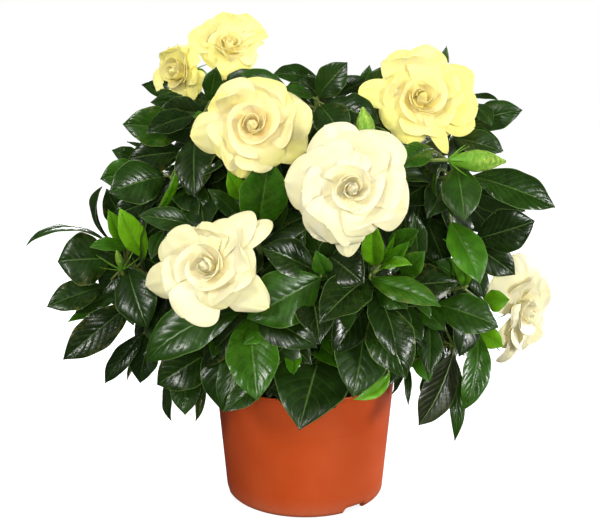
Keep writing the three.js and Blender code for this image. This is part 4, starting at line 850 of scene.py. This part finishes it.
        ((-92, 228, -60), (-68, 203, -72), 22, 0.05, (0.1, -1, 0.3)),
        ((-86, 248, -50), (-124, 243, -44), 24, 0.05, (0, -1, 0.2)),
        ((-102, 215, -50), (-136, 203, -46), 21, 0.05, (0, -1, 0.2)),
        ((-90, 206, -54), (-120, 183, -52), 21, 0.05, (0, -1, 0.2)),
        ((-56, 252, -50), (-74, 224, -46), 25, 0.05, (0, -1, 0.2)),
        ((-84, 225, -46), (-114, 215, -42), 21, 0.05, (0, -1, 0.2)),
    ]),
    "mid_left": ((-36, 194, -92), [
        ((-34, 192, -98), (-25, 244, -102), 30, 0.45, (0.1, -1, 0.1)),
        ((-43, 213, -92), (-54, 234, -90), 12, 0.85, (0, -1, 0.1)),
        ((-44, 200, -86), (-68, 222, -84), 12, 0.2, (0, -1, 0.3)),
        ((-28, 190, -88), (-12, 216, -86), 12, 0.15, (0, -1, 0.1)),
    ]),
}

# Rings of shoots at the back and in the middle: height, radius and sector of their ends.
shootRings = (
    dict(name="back_low", height=122, radius=104, sector=(6, 174), count=5, leaves=8),
    dict(name="back_mid", height=196, radius=112, sector=(18, 162), count=4, leaves=8),
    dict(name="back_high", height=258, radius=74, sector=(28, 152), count=3, leaves=8),
    dict(name="inner_low", height=138, radius=62, sector=(205, 335), count=3, leaves=6),
    dict(name="inner_high", height=224, radius=58, sector=(205, 335), count=3, leaves=6),
)
crown = dict(middle=(0, 2, 162), radii=(156, 168, 142))  # the tips of their leaves stay within it
fanFrom = (0, 0, 120)  # twigs and leaves point away from here
ringLeaf = dict(
    shortest=46, longest=72, widthShare=0.44, bow=0.1,
    pairTurn=77, spread=78, gather=40, droop=0.22,
)
innerLeaf = dict(
    shortest=38, longest=60, widthShare=0.5, bow=0.09,
    count=9, crownShare=0.84, spread=(45, 85), droop=0.35, agedTo=0.12,
)


def insideCrown(point, share=1.0):
    off = point - crown["middle"]
    far = np.linalg.norm(off / crown["radii"]) / share
    return crown["middle"] + off / far if far > 1 else point


# A direction that leaves a twig at an angle, turned about it, and droops.
def leafWay(ahead, spread, turn, droop):
    across = unit(np.cross(upward, ahead))
    over = np.cross(ahead, across)
    way = ahead * math.cos(spread) + math.sin(spread) * (across * math.cos(turn) + over * math.sin(turn))
    way[2] -= droop
    return unit(way)


# Old dark leaves stand along the inner part of every twig and hide the wood behind them.
def innerLeaves(curve, seed):
    leaves = []
    for k in range(innerLeaf["count"]):
        t = 0.25 + 0.6 * (k + chance(seed + k)) / innerLeaf["count"]  # along the twig
        start = bezier(curve, t)
        spread = math.radians(between(*innerLeaf["spread"], seed + k * 0.3))
        length = between(innerLeaf["shortest"], innerLeaf["longest"], seed * 1.3 + k * 0.7)
        way = leafWay(heading(curve, t), spread, 2.4 * k + 6 * chance(seed + 0.5), innerLeaf["droop"])
        tip = insideCrown(start + way * length, innerLeaf["crownShare"])
        if np.linalg.norm(tip - start) < 0.5 * innerLeaf["shortest"]:
            continue
        leaves.append(dict(
            base=start, tip=tip, wide=length * innerLeaf["widthShare"],
            face=unit(start - fanFrom) + (0, -0.3, 0.5), bow=innerLeaf["bow"],
            bend=between(-0.05, 0.05, seed + k * 0.7), fold=between(4, 20, seed + k * 0.9),
            age=innerLeaf["agedTo"] * chance(seed + k * 0.5)))
    return leaves


# Pairs of leaves, each pair turned from the last, along the outer part of the shoot's twig.
def ringShoot(end, ring, seed):
    outward = unit(end - fanFrom)
    curve = twigCurve(end, outward)
    leaves = []
    pairs = ring["leaves"] // 2
    for k in range(ring["leaves"]):
        step = (k // 2) / (pairs - 1)
        t = 0.55 + 0.44 * step  # along the twig
        start = bezier(curve, t)
        turn = math.pi * (k % 2) + math.radians(ringLeaf["pairTurn"]) * (k // 2)
        turn = turn + 0.6 * chance(seed + k * 0.13)
        spread = math.radians(ringLeaf["spread"] - ringLeaf["gather"] * step)
        length = between(ringLeaf["shortest"], ringLeaf["longest"], seed * 1.7 + k * 0.31)
        tip = insideCrown(start + leafWay(heading(curve, t), spread, turn, ringLeaf["droop"]) * length)
        young = 0.25 * (step > 0.9) * chance(seed + k)
        leaves.append(dict(
            base=start, tip=tip, wide=length * ringLeaf["widthShare"],
            face=outward + (0, 0, 0.9), bow=ringLeaf["bow"],
            bend=between(-0.04, 0.04, seed + k * 0.7), fold=between(6, 22, seed + k * 0.9),
            age=0.12 + 0.3 * chance(seed + k * 0.5) + young))
    return curve, leaves


def makeRingShoots(finishes):
    for row, ring in enumerate(shootRings):
        for i in range(ring["count"]):
            seed = row * 20 + i
            low, high = ring["sector"]
            angle = math.radians(low + (high - low) * i / (ring["count"] - 1))
            radius = ring["radius"] * (0.94 + 0.12 * chance(seed))
            height = ring["height"] + 16 * (chance(seed + 0.5) - 0.5)
            end = np.array((radius * math.cos(angle), radius * math.sin(angle), height))
            curve, leaves = ringShoot(end, ring, seed)
            surface = Surface()
            for k, leaf in enumerate(leaves + innerLeaves(curve, seed + 60)):
                addLeaf(surface, leaf, seed * 3.1 + k, *leafShape["ringGrid"])
            addTwig(surface, curve, rings=(0.55, 0.7, 0.84, 0.99), slot=2)
            name = f"{ring['name']}_{i + 1}"
            surface.piece(f"leaves_{name}", finishes, f"shoot_{name}")
    print("shoots at the back and inside made")


def makeFrontShoots(finishes):
    lean = leafShape["lean"]
    for number, (name, (place, leaves)) in enumerate(frontShoots.items()):
        end = seen(place)
        curve = twigCurve(end, unit(end - fanFrom))
        surface = Surface()
        for k, (base, tip, wide, age, face, *own) in enumerate(leaves):
            leaf = dict(plainLeaf, wide=wide, age=age, face=face)
            leaf["base"] = seen(np.add(base, (0, 0, lean)))
            leaf["tip"] = seen(np.add(tip, (0, 0, -lean)))
            leaf.update(*own)
            addLeaf(surface, leaf, number * 5.3 + k * 1.7 + 2, *leafShape["grid"])
            addStalk(surface, leaf, curve)
        for k, leaf in enumerate(innerLeaves(curve, number + 0.35)):
            addLeaf(surface, leaf, number * 2.3 + k, *leafShape["ringGrid"])
        addTwig(surface, curve, rings=(0.6, 0.8, 0.98), slot=2)
        surface.piece(f"leaves_{name}", finishes, f"shoot_{name}")
    print("shoots at the front made")


petalShape = dict(
    grid=(28, 21), rise=5, seat=7, thickness=0.45, cup=0.20, recurve=0.24, ripple=0.055,
    roll=8, bowlRoll=4, lobe=0.035, lip=0.10, crease=0.25,
)
heartShape = dict(
    radius=12.5, height=7, layers=10, wrap=62, lean=4.5, turn=2.4, depth=5, grid=(22, 25),
    narrowing=0.69, rising=2.5, wrapGain=0.55, leanLoss=7.0,  # from the outermost layer to the innermost
    bud=3.6, budHeight=10.5, budGrid=(30, 48),
)
calyxShape = dict(tube=15, tubeRadius=3, cup=8, wall=1.2, ovary=9, sepals=6, sepalLength=21, sepalWidth=1.5)

# heart: where the heart is seen. facing: the way the flower looks. size: of its heart. lemon, and the warm
# tint: how yellow the petals are, and how warm their feet and folds, which is partly the heart's own apricot
# and partly painted golden shade. petals and middle: angle about the heart (0 right, 90 up), reach, width,
# how far the tip lies ahead, and for some how blunt the tip is.
# The middle petals stand as bowls.
flowers = {
    "top_left": dict(
        heart=(-87, 302, -14), facing=(-0.70, -0.70, 0.05), size=0.85, lemon=0.95, warmthAndShade=0.5,
        petals=[(100, 18, 30, 2), (62, 21, 28, 0), (20, 17, 26, -2), (150, 17, 26, 3),
                (205, 17, 26, 3), (250, 19, 28, 1), (-72, 22, 22, -4), (-35, 20, 22, -6)],
        middle=[(120, 15, 22, 5), (215, 15, 24, 7), (20, 13, 20, 4)],
    ),
    "top": dict(
        heart=(-52, 321, -12), facing=(0.15, -0.80, 0.58), size=0.62, lemon=0.85, warmthAndShade=0.6,
        petals=[(62, 31, 30, 0), (96, 25, 32, 2), (128, 26, 30, 0), (160, 28, 26, -2), (36, 31, 23, 0),
                (-12, 21, 28, -4), (-48, 23, 26, -4), (-98, 29, 15, 0), (200, 21, 26, -4), (228, 19, 22, -4)],
        middle=[(70, 19, 23, 5), (150, 17, 21, 6), (-20, 18, 25, 3), (-120, 13, 17, 5)],
    ),
    "yellow_left": dict(
        heart=(-36, 266, -104), facing=(-0.05, -1, 0.22), size=1, lemon=0.60, warmthAndShade=0.85,
        petals=[(84, 30, 37, 0), (128, 32, 29, -1), (158, 30, 25, -3), (17, 36, 31, -3),
                (50, 29, 31, 0), (188, 38, 25, -5, 2.8), (222, 28, 33, -1), (255, 32, 23, -5),
                (-50, 28, 31, 0), (-24, 35, 27, -4)],
        middle=[(128, 20, 24, 10), (215, 24, 31, 4), (0, 23, 29, 4), (-88, 26, 23, 3), (65, 22, 27, 3)],
    ),
    "front": dict(
        heart=(33, 222, -140), facing=(0, -1, 0.2), size=0.95, lemon=0.04, warmthAndShade=0.75,
        petals=[(113, 39, 33, -2), (84, 30, 22, 0), (56, 40, 34, -4), (4, 30, 26, -2), (-20, 35, 32, -3),
                (-62, 28, 30, 0), (-110, 33, 36, -1), (-128, 35, 28, -4), (205, 33, 28, -5),
                (172, 38, 34, -5), (-93, 38, 16, -12)],
        middle=[(130, 26, 31, 4), (75, 25, 33, 5), (10, 25, 33, 4), (-60, 22, 29, 5), (-122, 26, 33, 4),
                (185, 24, 28, 3)],
    ),
    "yellow_right": dict(
        heart=(80, 284, -64), facing=(0.08, -1, 0.25), size=1, lemon=0.82, warmthAndShade=0.75,
        petals=[(174, 40, 18, 2), (145, 30, 24, -2), (116, 35, 25, -5), (82, 36, 28, 0),
                (28, 41, 26, -4), (-6, 38, 28, -2), (-26, 39, 22, -5), (-46, 29, 20, -6),
                (-66, 38, 11, 2, 1.3), (-112, 30, 24, -2), (215, 29, 24, 0)],
        middle=[(110, 26, 36, 6), (165, 21, 23, 5), (40, 24, 27, 4), (-20, 21, 27, 5), (-90, 20, 29, 5)],
    ),
    "left": dict(
        heart=(-69, 166, -124), facing=(-0.32, -1, 0.28), size=1, lemon=0.18, warmthAndShade=0.75,
        petals=[(198, 43, 23, -5, 2.6), (172, 34, 25, -4), (146, 31, 22, -2, 1.5), (104, 27, 24, 0, 1.5),
                (72, 31, 24, -2, 1.6), (41, 45, 14, -8), (56, 41, 21, -5, 1.6), (14, 29, 30, -2),
                (-30, 42, 25, -8, 1.0), (-58, 27, 28, 0), (-104, 35, 27, -3, 2.4), (215, 27, 24, -2)],
        middle=[(150, 26, 30, 5), (95, 21, 28, 4), (30, 24, 28, 3), (-35, 22, 30, 6), (-105, 28, 33, 5),
                (200, 25, 26, 4)],
    ),
    "right": dict(
        heart=(158, 134, -10), facing=(0.70, -0.70, -0.05), size=0.9, lemon=0.06, warmthAndShade=0.6,
        petals=[(140, 42, 34, -6), (98, 42, 32, -4), (55, 36, 28, 0), (-6, 40, 30, -2),
                (-60, 32, 30, 0), (-105, 42, 32, -4), (226, 32, 28, -2), (182, 25, 18, 6)],
        middle=[(110, 24, 27, 5), (30, 22, 25, 5), (-50, 24, 27, 5), (-120, 26, 27, 5), (190, 22, 25, 4)],
    ),
}


# Where something stands that faces ahead, and which ways are right, up and ahead for it.
def axesAt(centre, ahead):
    up = upward - ahead * ahead[2]
    if np.linalg.norm(up) < 0.3:
        up = np.array((0, 1, 0)) - ahead * ahead[1]
    up = unit(up)
    return centre, np.cross(up, ahead), up, ahead


# Places on a flower: an angle about the way it faces, how far out, and how far ahead of its heart.
def onFlower(axes, angle, out, forward):
    centre, rightward, above, ahead = axes
    parts = stacked(out * np.cos(angle), out * np.sin(angle), forward)
    return centre + rightward * parts[..., :1] + above * parts[..., 1:2] + ahead * parts[..., 2:]


# The petal's outline: a narrow foot, widest near three quarters, and a round end.
def petalWidth(u, blunt):
    swell = 0.20 + 0.80 * np.sin(0.5 * math.pi * climb(u, 0, 0.70)) ** 1.3
    return swell * np.sqrt(np.clip(1 - climb(u, 0.66, 0.34) ** blunt, 0, 1))


def addPetal(surface, axes, petal, seed, lemon, warmthAndShade, bowl=0.0):
    angle, reach, width, lift, *end = petal
    blunt = end[0] if end else between(1.9, 2.8, seed + 0.15)
    angle = math.radians(angle)
    rows, columns = petalShape["grid"]
    u = 1 - (1 - np.linspace(0, 0.995, rows)) ** 1.35
    rise = (petalShape["rise"] + lift / 2) * (1 - 1.2 * bowl)
    controls = (onFlower(axes, angle, 2, -petalShape["seat"]),
                onFlower(axes, angle, reach * (0.45 + 0.40 * bowl), rise),
                onFlower(axes, angle, reach, lift + 3 * bowl))
    line = bezier(controls, u)
    ahead = heading(controls, u)
    side = unit(np.cross(ahead, axes[3]))
    tuck = petalShape["roll"] + petalShape["bowlRoll"] * bowl + between(-4, 4, seed + 0.1)
    side, over = rolled(side, np.cross(side, ahead), math.radians(tuck) * climb(u, 0, 0.4))
    u = u[:, None]
    v = np.linspace(-1, 1, columns)[None, :]
    edge = np.abs(v)
    half = np.maximum(width / 2 * petalWidth(u, blunt), 0.25)
    sideways = half * v * (1 + petalShape["lobe"] * np.sin(2 * math.pi * (1.7 * u + chance(seed)) + 2.1 * v))
    notch = between(-0.02, 0.03, seed + 0.2) * np.exp(-(v / 0.35) ** 2) * climb(u, 0.7, 0.3) ** 2
    cup = petalShape["cup"] + 0.12 * bowl
    cupped = cup * half * edge ** 2 * np.clip(1 - u / (0.75 + 0.2 * bowl), -0.2, 1)
    turned = -petalShape["recurve"] * half * edge ** 3 * climb(u, 0.3, 0.5) * between(0.4, 1.5, seed + 0.3)
    slant = 0.35 * v * between(-1, 1, seed + 0.5)
    beat = 2 * math.pi * (between(1.2, 2.1, seed + 0.4) * u + slant + chance(seed + 0.6))
    ripple = petalShape["ripple"] * width * 0.5 * np.sin(beat) * edge ** 1.5 * climb(u, 0, 0.5)
    lip = -petalShape["lip"] * width * climb(u, 0.72, 0.28) ** 2 * between(-0.3, 1.6, seed + 0.7)
    crease = petalShape["crease"] * np.sin(9 * v + 5 * chance(seed + 0.8))
    crease = crease * np.clip(u * 1.5, 0, 1) * (1 - edge ** 4)
    height = cupped + turned + ripple + lip + crease
    upper = line[:, None] + side[:, None] * sideways[..., None] + over[:, None] * height[..., None]
    upper = upper - ahead[:, None] * (notch * reach)[..., None]
    thick = petalShape["thickness"] * (1 - 0.5 * edge ** 3)
    rim = climb(u, 0.35, 0.65) * between(0.15, 0.7, seed + 0.95) * (1 - bowl)
    yellow = (lemon + 0.10) * (0.72 + rim) + between(-0.08, 0.10, seed + 0.9) + 0.10 * edge ** 4
    # warm towards the foot: partly the petal's own colour, partly painted shade deep in the flower
    tint = stacked(yellow, chance(seed + 1), warmthAndShade * np.clip(0.95 - u, 0, 1))
    blade(surface, upper, upper - over[:, None] * thick[..., None], tint, 0, 0)


# A furled petal wraps round the flower's own line, leaning out at its lip, one edge tucked in.
def addFurledPetal(surface, axes, turn, radius, height, wrap, lean, seed, flower):
    rows, columns = heartShape["grid"]
    depth = heartShape["depth"]
    t = np.linspace(0, 1, rows)[:, None]
    v = np.linspace(-1, 1, columns)[None, :]
    angle = turn + math.radians(wrap) * v
    top = height * (1 - 0.34 * np.abs(v) ** 2.2) + 0.5 * np.sin(4 * v + 6 * chance(seed))
    opening = radius * (0.42 + 0.58 * t ** 0.8) + lean * t ** 2.4
    lip = 0.9 * t ** 6 * np.sin(3 * v + 6 * chance(seed + 0.3))
    out = np.maximum(opening * (1 + 0.22 * v) + lip, 0.5)
    forward = -depth + (top + depth) * t - 0.10 * lean * t ** 6
    inner = onFlower(axes, angle, out, forward)
    outer = onFlower(axes, angle, out + petalShape["thickness"] * (1 - 0.5 * t ** 4), forward - 0.15)
    # yellower and warmer towards its foot: partly the heart's own colour, partly painted shade deep in the
    # heart
    yellow = 0.8 * flower["lemon"] + 0.15 * (1 - t)
    blade(surface, outer, inner, stacked(yellow, chance(seed), flower["warmthAndShade"] * (1 - 0.35 * t ** 1.5)), 0, 0)


# Furled petals round one that is still closed.
def makeHeart(name, flower, axes, finish, seed):
    surface = Surface()
    size = flower["size"]
    for k in range(heartShape["layers"]):
        inward = k / (heartShape["layers"] - 1)
        radius = size * heartShape["radius"] * (1 - heartShape["narrowing"] * inward)
        height = size * (heartShape["height"] + heartShape["rising"] * inward)
        wrap = heartShape["wrap"] * (1 + heartShape["wrapGain"] * inward)
        lean = heartShape["lean"] - heartShape["leanLoss"] * inward ** 0.7
        lean = size * lean * between(0.7, 1.3, seed + 0.9 * k)
        turn = heartShape["turn"] * k + seed
        addFurledPetal(surface, axes, turn, radius, height, wrap, lean, seed + k, flower)
    rows, sides = heartShape["budGrid"]
    t = np.linspace(0, 1, rows)
    swell = np.sin(math.pi * (0.22 + 0.76 * t ** 1.1)) ** 0.8
    fold = ((1.5 * fullTurn(sides)[None, :] / math.pi + 0.9 * t[:, None] + seed) % 1.0) ** 1.5
    radii = size * heartShape["bud"] * swell[:, None] * (0.84 + 0.22 * fold)
    depth = heartShape["depth"]
    middle = onFlower(axes, seed, 1.2 * t, -depth + (size * heartShape["budHeight"] + depth) * t)
    # the bud is warmer at its foot, partly its own colour and partly painted shade deep in the heart
    tube(surface, middle, radii, sides, stacked(flower["lemon"], 0.5, flower["warmthAndShade"] * (0.8 - 0.7 * t)))
    surface.piece(f"flower_{name}_folded_heart", [finish], f"flower_{name}_heart")


def makePetals(name, flower, axes, finish, seed):
    surface = Surface()
    lemon, warmthAndShade = flower["lemon"], flower["warmthAndShade"]
    t = np.linspace(0, 1, 12)
    back = axes[0] - axes[3] * calyxShape["tube"]
    line = back + axes[3] * (t * (calyxShape["tube"] - petalShape["seat"] + 2))[:, None]
    tube(surface, line, calyxShape["tubeRadius"] + 1.6 * t ** 2, 20, (lemon, 0.5, 0))
    for k, petal in enumerate(flower["petals"]):
        addPetal(surface, axes, petal, seed + k * 1.3, lemon, warmthAndShade)
    for k, petal in enumerate(flower["middle"]):
        # the middle petals sit deeper, so they get more painted warm shade as well as their own warm colour
        addPetal(surface, axes, petal, seed + 20 + k, lemon, warmthAndShade * 1.2, bowl=1.0)
    surface.piece(f"flower_{name}_outer_petals", [finish], f"flower_{name}_petals")


# Thin pointed sepals with a keel, which curve away from the rim that they stand on.
def addSepals(surface, axes, place, radius, length, curl, seed, step, startAngle=0.0):
    t = np.linspace(0, 1, 22)
    flat = 0.62 + 0.38 * np.cos(2 * fullTurn(10)[None, :])
    taper = (1 - t) ** 0.6
    keel = 0.75 + 0.25 * np.sin(math.pi * t)
    radii = calyxShape["sepalWidth"] / 2 * taper[:, None] * keel[:, None] * flat + 0.12
    for k in range(calyxShape["sepals"]):
        angle = 2 * math.pi * k / calyxShape["sepals"] + startAngle
        controls = (onFlower(axes, angle, radius - 0.6, place - 1.5),
                    onFlower(axes, angle, radius + 0.33 * length, place + 1 + curl * 0.2),
                    onFlower(axes, angle, 0.8 * length, place + curl))
        tube(surface, bezier(controls, t), radii, 10, (0.1, chance(seed + k * step), 0))


# A ribbed cup round the petals' tube, with the ovary behind it.
def makeCalyx(name, axes, finish, seed):
    surface = Surface()
    back, rim = -calyxShape["tube"], -calyxShape["tube"] + calyxShape["cup"]
    wide = calyxShape["tubeRadius"] + 0.3 + calyxShape["wall"]
    profile = np.array((
        (back - calyxShape["ovary"], 1.5), (back - 7.2, 2.4), (back - 5, wide * 0.82),
        (back - 2, wide * 0.86), (back, wide * 0.90), (back + 2.5, wide), (rim - 0.6, wide * 1.04),
        (rim, wide * 1.02), (rim, wide - 0.9), (rim - 3, wide - 1.15)))
    turn = fullTurn(48)
    firstRib = 0.4
    ribbed = profile[:, 1:] * (1 + 0.07 * np.cos(calyxShape["sepals"] * (turn - firstRib)))
    surface.grid(onFlower(axes, turn, ribbed, profile[:, :1]), (0.1, 0.5, 0), around=True)
    addSepals(surface, axes, rim - 1, wide, calyxShape["sepalLength"], -6, seed, 1, firstRib)
    surface.piece(f"flower_{name}_green_cup", [finish], f"flower_{name}_calyx")


def makeFlowers(petalFinish, cupFinish):
    twigs = []
    for number, (name, flower) in enumerate(flowers.items()):
        axes = axesAt(seen(flower["heart"]), unit(flower["facing"]))
        seed = 1.7 * number + 0.4
        makePetals(name, flower, axes, petalFinish, seed)
        makeHeart(name, flower, axes, petalFinish, seed)
        makeCalyx(name, axes, cupFinish, seed)
        end = onFlower(axes, 0, 0, -(calyxShape["tube"] + calyxShape["ovary"] + 0.3))
        twigs.append(twigCurve(end, axes[3]))
    print("flowers made")
    return twigs


buds = {  # foot and tip as seen, the widest radius, and the length of the sepals
    "right": dict(foot=(101, 242, -86), tip=(140, 241, -84), radius=7.2, sepal=13.2),
    "top": dict(foot=(44, 250, -92), tip=(40, 278, -90), radius=6.2, sepal=12.2),
    "left": dict(foot=(-131, 164, -66), tip=(-134, 178, -72), radius=2.6, sepal=19),
}
budOutline = ((0, 0.05, 0.16, 0.45, 0.72, 0.93, 1), (0.22, 0.36, 0.62, 1, 0.78, 0.30, 0.10))


def makeBuds(finish):
    twigs = []
    for number, (name, bud) in enumerate(buds.items()):
        foot, tip = seen(bud["foot"]), seen(bud["tip"])
        length = np.linalg.norm(tip - foot)
        axes = axesAt(foot, (tip - foot) / length)
        ahead = axes[3]
        surface = Surface()
        t = np.linspace(0, 1, 44)
        swell = np.convolve(np.pad(np.interp(t, *budOutline), 3, mode="edge"), np.ones(7) / 7, mode="valid")
        t = t[:, None]
        furled = 0.10 * np.abs(np.sin(2.5 * fullTurn(40)[None, :] + 3.2 * t)) * np.clip(t * 2.2 - 0.5, 0, 1)
        radii = bud["radius"] * swell[:, None] * (0.95 + furled)
        paler = np.clip(9 * furled + 0.3 * t, 0, 1)  # the furled petals' edges
        tube(surface, foot + ahead * (length * t), radii, 40, stacked(paler, 0.5, 0))
        addSepals(surface, axes, 1.5, 1.6, bud["sepal"], 9, number, 0.4)
        surface.piece(f"bud_{name}_furled", [finish], f"bud_{name}")
        twigs.append(twigCurve(foot - ahead * 0.3, ahead))
    print("buds made")
    return twigs


pot = dict(
    height=88, rimRadius=65, footRadius=57, wall=1.8, lip=0.8, footRounding=4.2, footRing=5,
    floorLift=5, floorThickness=2, notches=(-52, 68, 188), notchWidth=19, notchHeight=6,
    drains=6, drainRadius=4, drainCircle=30, drainCut=8, segments=360,
)
soil = dict(rimDrop=11, crown=3.5, crumbs=420, gap=0.3)


def potRadius(z):
    return pot["footRadius"] + (pot["rimRadius"] - pot["footRadius"]) * z / pot["height"]


# The pot's section, from the middle of its floor underneath, round the foot, up and back down.
def potProfile():
    foot, wall, lip, top = pot["footRadius"], pot["wall"], pot["lip"], pot["height"]
    lift, floor = pot["floorLift"], pot["floorLift"] + pot["floorThickness"]
    rounding = pot["footRounding"]
    inner = foot - pot["footRing"]
    rows = [(0.2, lift), (20, lift), (40, lift), (inner - 1.5, lift), (inner - 0.4, lift - 0.5),
            (inner, lift - 1.6), (inner, 1.0), (inner + 0.5, 0.2), (inner + 1.4, 0.0)]
    for a in np.linspace(0, math.pi / 2, 8):
        z = rounding * (1 - math.cos(a))
        rows.append((potRadius(z) - rounding * (1 - math.sin(a)), z))
    rows += [(potRadius(z), z) for z in np.linspace(8, top - lip - 0.4, 24)]
    for a in np.linspace(0, math.pi, 7):
        rows.append((potRadius(top) - wall / 2 + math.cos(a) * wall / 2, top - lip + math.sin(a) * lip))
    rows += [(potRadius(z) - wall, z) for z in np.linspace(top - 3, floor + 3, 14)]
    rows += [(potRadius(floor) - wall - 1.2, floor + 0.5), (potRadius(floor) - wall - 3, floor), (40, floor),
             (20, floor), (0.2, floor)]
    return np.array(rows)


def rounded(radius, turn, z):
    return stacked(radius * np.cos(turn), radius * np.sin(turn), z)


def makePot(finish):
    turn = fullTurn(pot["segments"])
    radius, z = np.split(potProfile(), 2, axis=1)
    nearFoot = radius > pot["footRadius"] - pot["footRing"] - 2
    # arches through the foot ring let the water out
    for angle in pot["notches"]:
        off = (turn - math.radians(angle) + math.pi) % (2 * math.pi) - math.pi
        share = np.clip(1 - np.abs(off * pot["footRadius"] / (pot["notchWidth"] / 2)) ** 10, 0, 1)
        arch = (pot["notchHeight"] - 1.4) * share ** 0.3
        z = np.where(nearFoot & (z < pot["notchHeight"] + 2), np.maximum(z, arch[None, :] + z * 0.12), z)
    surface = Surface()
    surface.grid(rounded(radius, turn, z), around=True)
    made = surface.piece("plastic_pot", [finish], "pot")
    cutDrains(made)


# Drainage holes, cut through the pot's floor in a circle.
def cutDrains(made):
    holes = bmesh.new()
    radius = pot["drainRadius"] * metre
    height = pot["floorLift"] + pot["floorThickness"] / 2
    for k in range(pot["drains"]):
        angle = 2 * math.pi * k / pot["drains"]
        middle = (pot["drainCircle"] * math.cos(angle), pot["drainCircle"] * math.sin(angle), height)
        bmesh.ops.create_cone(holes, cap_ends=True, segments=40, radius1=radius, radius2=radius,
                              depth=pot["drainCut"] * metre, matrix=Matrix.Translation(metres(middle)))
    cutterMesh = bpy.data.meshes.new("drainCutter")
    holes.to_mesh(cutterMesh)
    holes.free()
    cutter = link("drainCutter", cutterMesh)
    welded = bmesh.new()
    welded.from_mesh(made.data)
    bmesh.ops.remove_doubles(welded, verts=welded.verts, dist=1e-6)
    welded.to_mesh(made.data)
    welded.free()
    cut = made.modifiers.new("drainHoles", "BOOLEAN")
    cut.object = cutter
    cut.solver = "EXACT"
    bpy.context.view_layer.update()
    result = bpy.data.meshes.new_from_object(made.evaluated_get(bpy.context.evaluated_depsgraph_get()))
    made.modifiers.remove(cut)
    made.data = result
    bpy.data.objects.remove(cutter)


def soilRadius(z):
    return potRadius(z) - pot["wall"] - soil["gap"]


# Slightly heaped soil down to the pot's floor, with loose crumbs on it.
def makeSoil(finish):
    surface = Surface()
    level = pot["height"] - soil["rimDrop"]
    reach = soilRadius(level)
    turn = fullTurn(150)
    out = np.linspace(0.01, 1, 60)[:, None]
    lumps = 0
    for k in range(2, 14):
        lumps = lumps + between(-1, 1, k) * np.sin(k * 1.3 * turn + 9 * out * between(0.3, 2, k + 0.5) + k)
    height = level + soil["crown"] * (1 - out ** 2) + 0.35 * lumps * np.clip((1 - out) * 8, 0, 1) * out ** 0.5
    floor = pot["floorLift"] + pot["floorThickness"] + soil["gap"]
    skirt = [rounded(soilRadius(z), turn, z) for z in np.linspace(level - 1, floor + 2, 12)]
    skirt += [rounded(radius, turn, floor) for radius in (potRadius(floor) - 6, 30, 0.3)]
    top = rounded(reach * out, turn, height)
    surface.grid(np.concatenate((top, skirt)), (0, 0.2, 0), around=True, flip=True)
    for k in range(soil["crumbs"]):
        angle, far = 2 * math.pi * chance(k + 0.1), reach * 0.96 * math.sqrt(chance(k + 0.2))
        size = between(0.5, 2.0, k + 0.3) ** 1.2
        rise = level + soil["crown"] * (1 - (far / reach) ** 2) + 0.1
        middle = np.array((far * math.cos(angle), far * math.sin(angle), rise))
        way = unit(np.array((between(-1, 1, k + 0.4), between(-1, 1, k + 0.5), between(-0.4, 0.4, k + 0.6))))
        line = middle + way * (size * np.linspace(-1, 1, 5) * between(1, 2, k + 0.7))[:, None]
        radii = size * np.array((0.35, 0.85, 1, 0.8, 0.3)) * 0.55
        tube(surface, line, radii, 7, (0, chance(k + 0.8), 0))
    surface.piece("potting_mix_crumbs", [finish], "potting_soil")


makeCamera()
makeLights()
makeSurround()
makeFloor()
print("view and light set")
leafFinishes = [makeLeafFinish("leafUpper", False), makeLeafFinish("leafUnder", True),
                makeStemFinish("greenTwig", woodyStem["green"], woodyStem["twig"], 900, 0.0004)]
petalFinish = makePetalFinish()
barkFinish = makeStemFinish("bark", woodyStem["green"], woodyStem["bark"], 420, 0.0009)
cupFinish = makeStemFinish("greenCup", (0.120, 0.320, 0.018), (0.300, 0.480, 0.060), 500, 0.0003)
print("finishes made")
makePot(makePotFinish())
makeSoil(makeSoilFinish())
print("pot made")
twigs = makeFlowers(petalFinish, cupFinish) + makeBuds(cupFinish)
makeWoodyStem(barkFinish, twigs)
makeFrontShoots(leafFinishes)
makeRingShoots(leafFinishes)
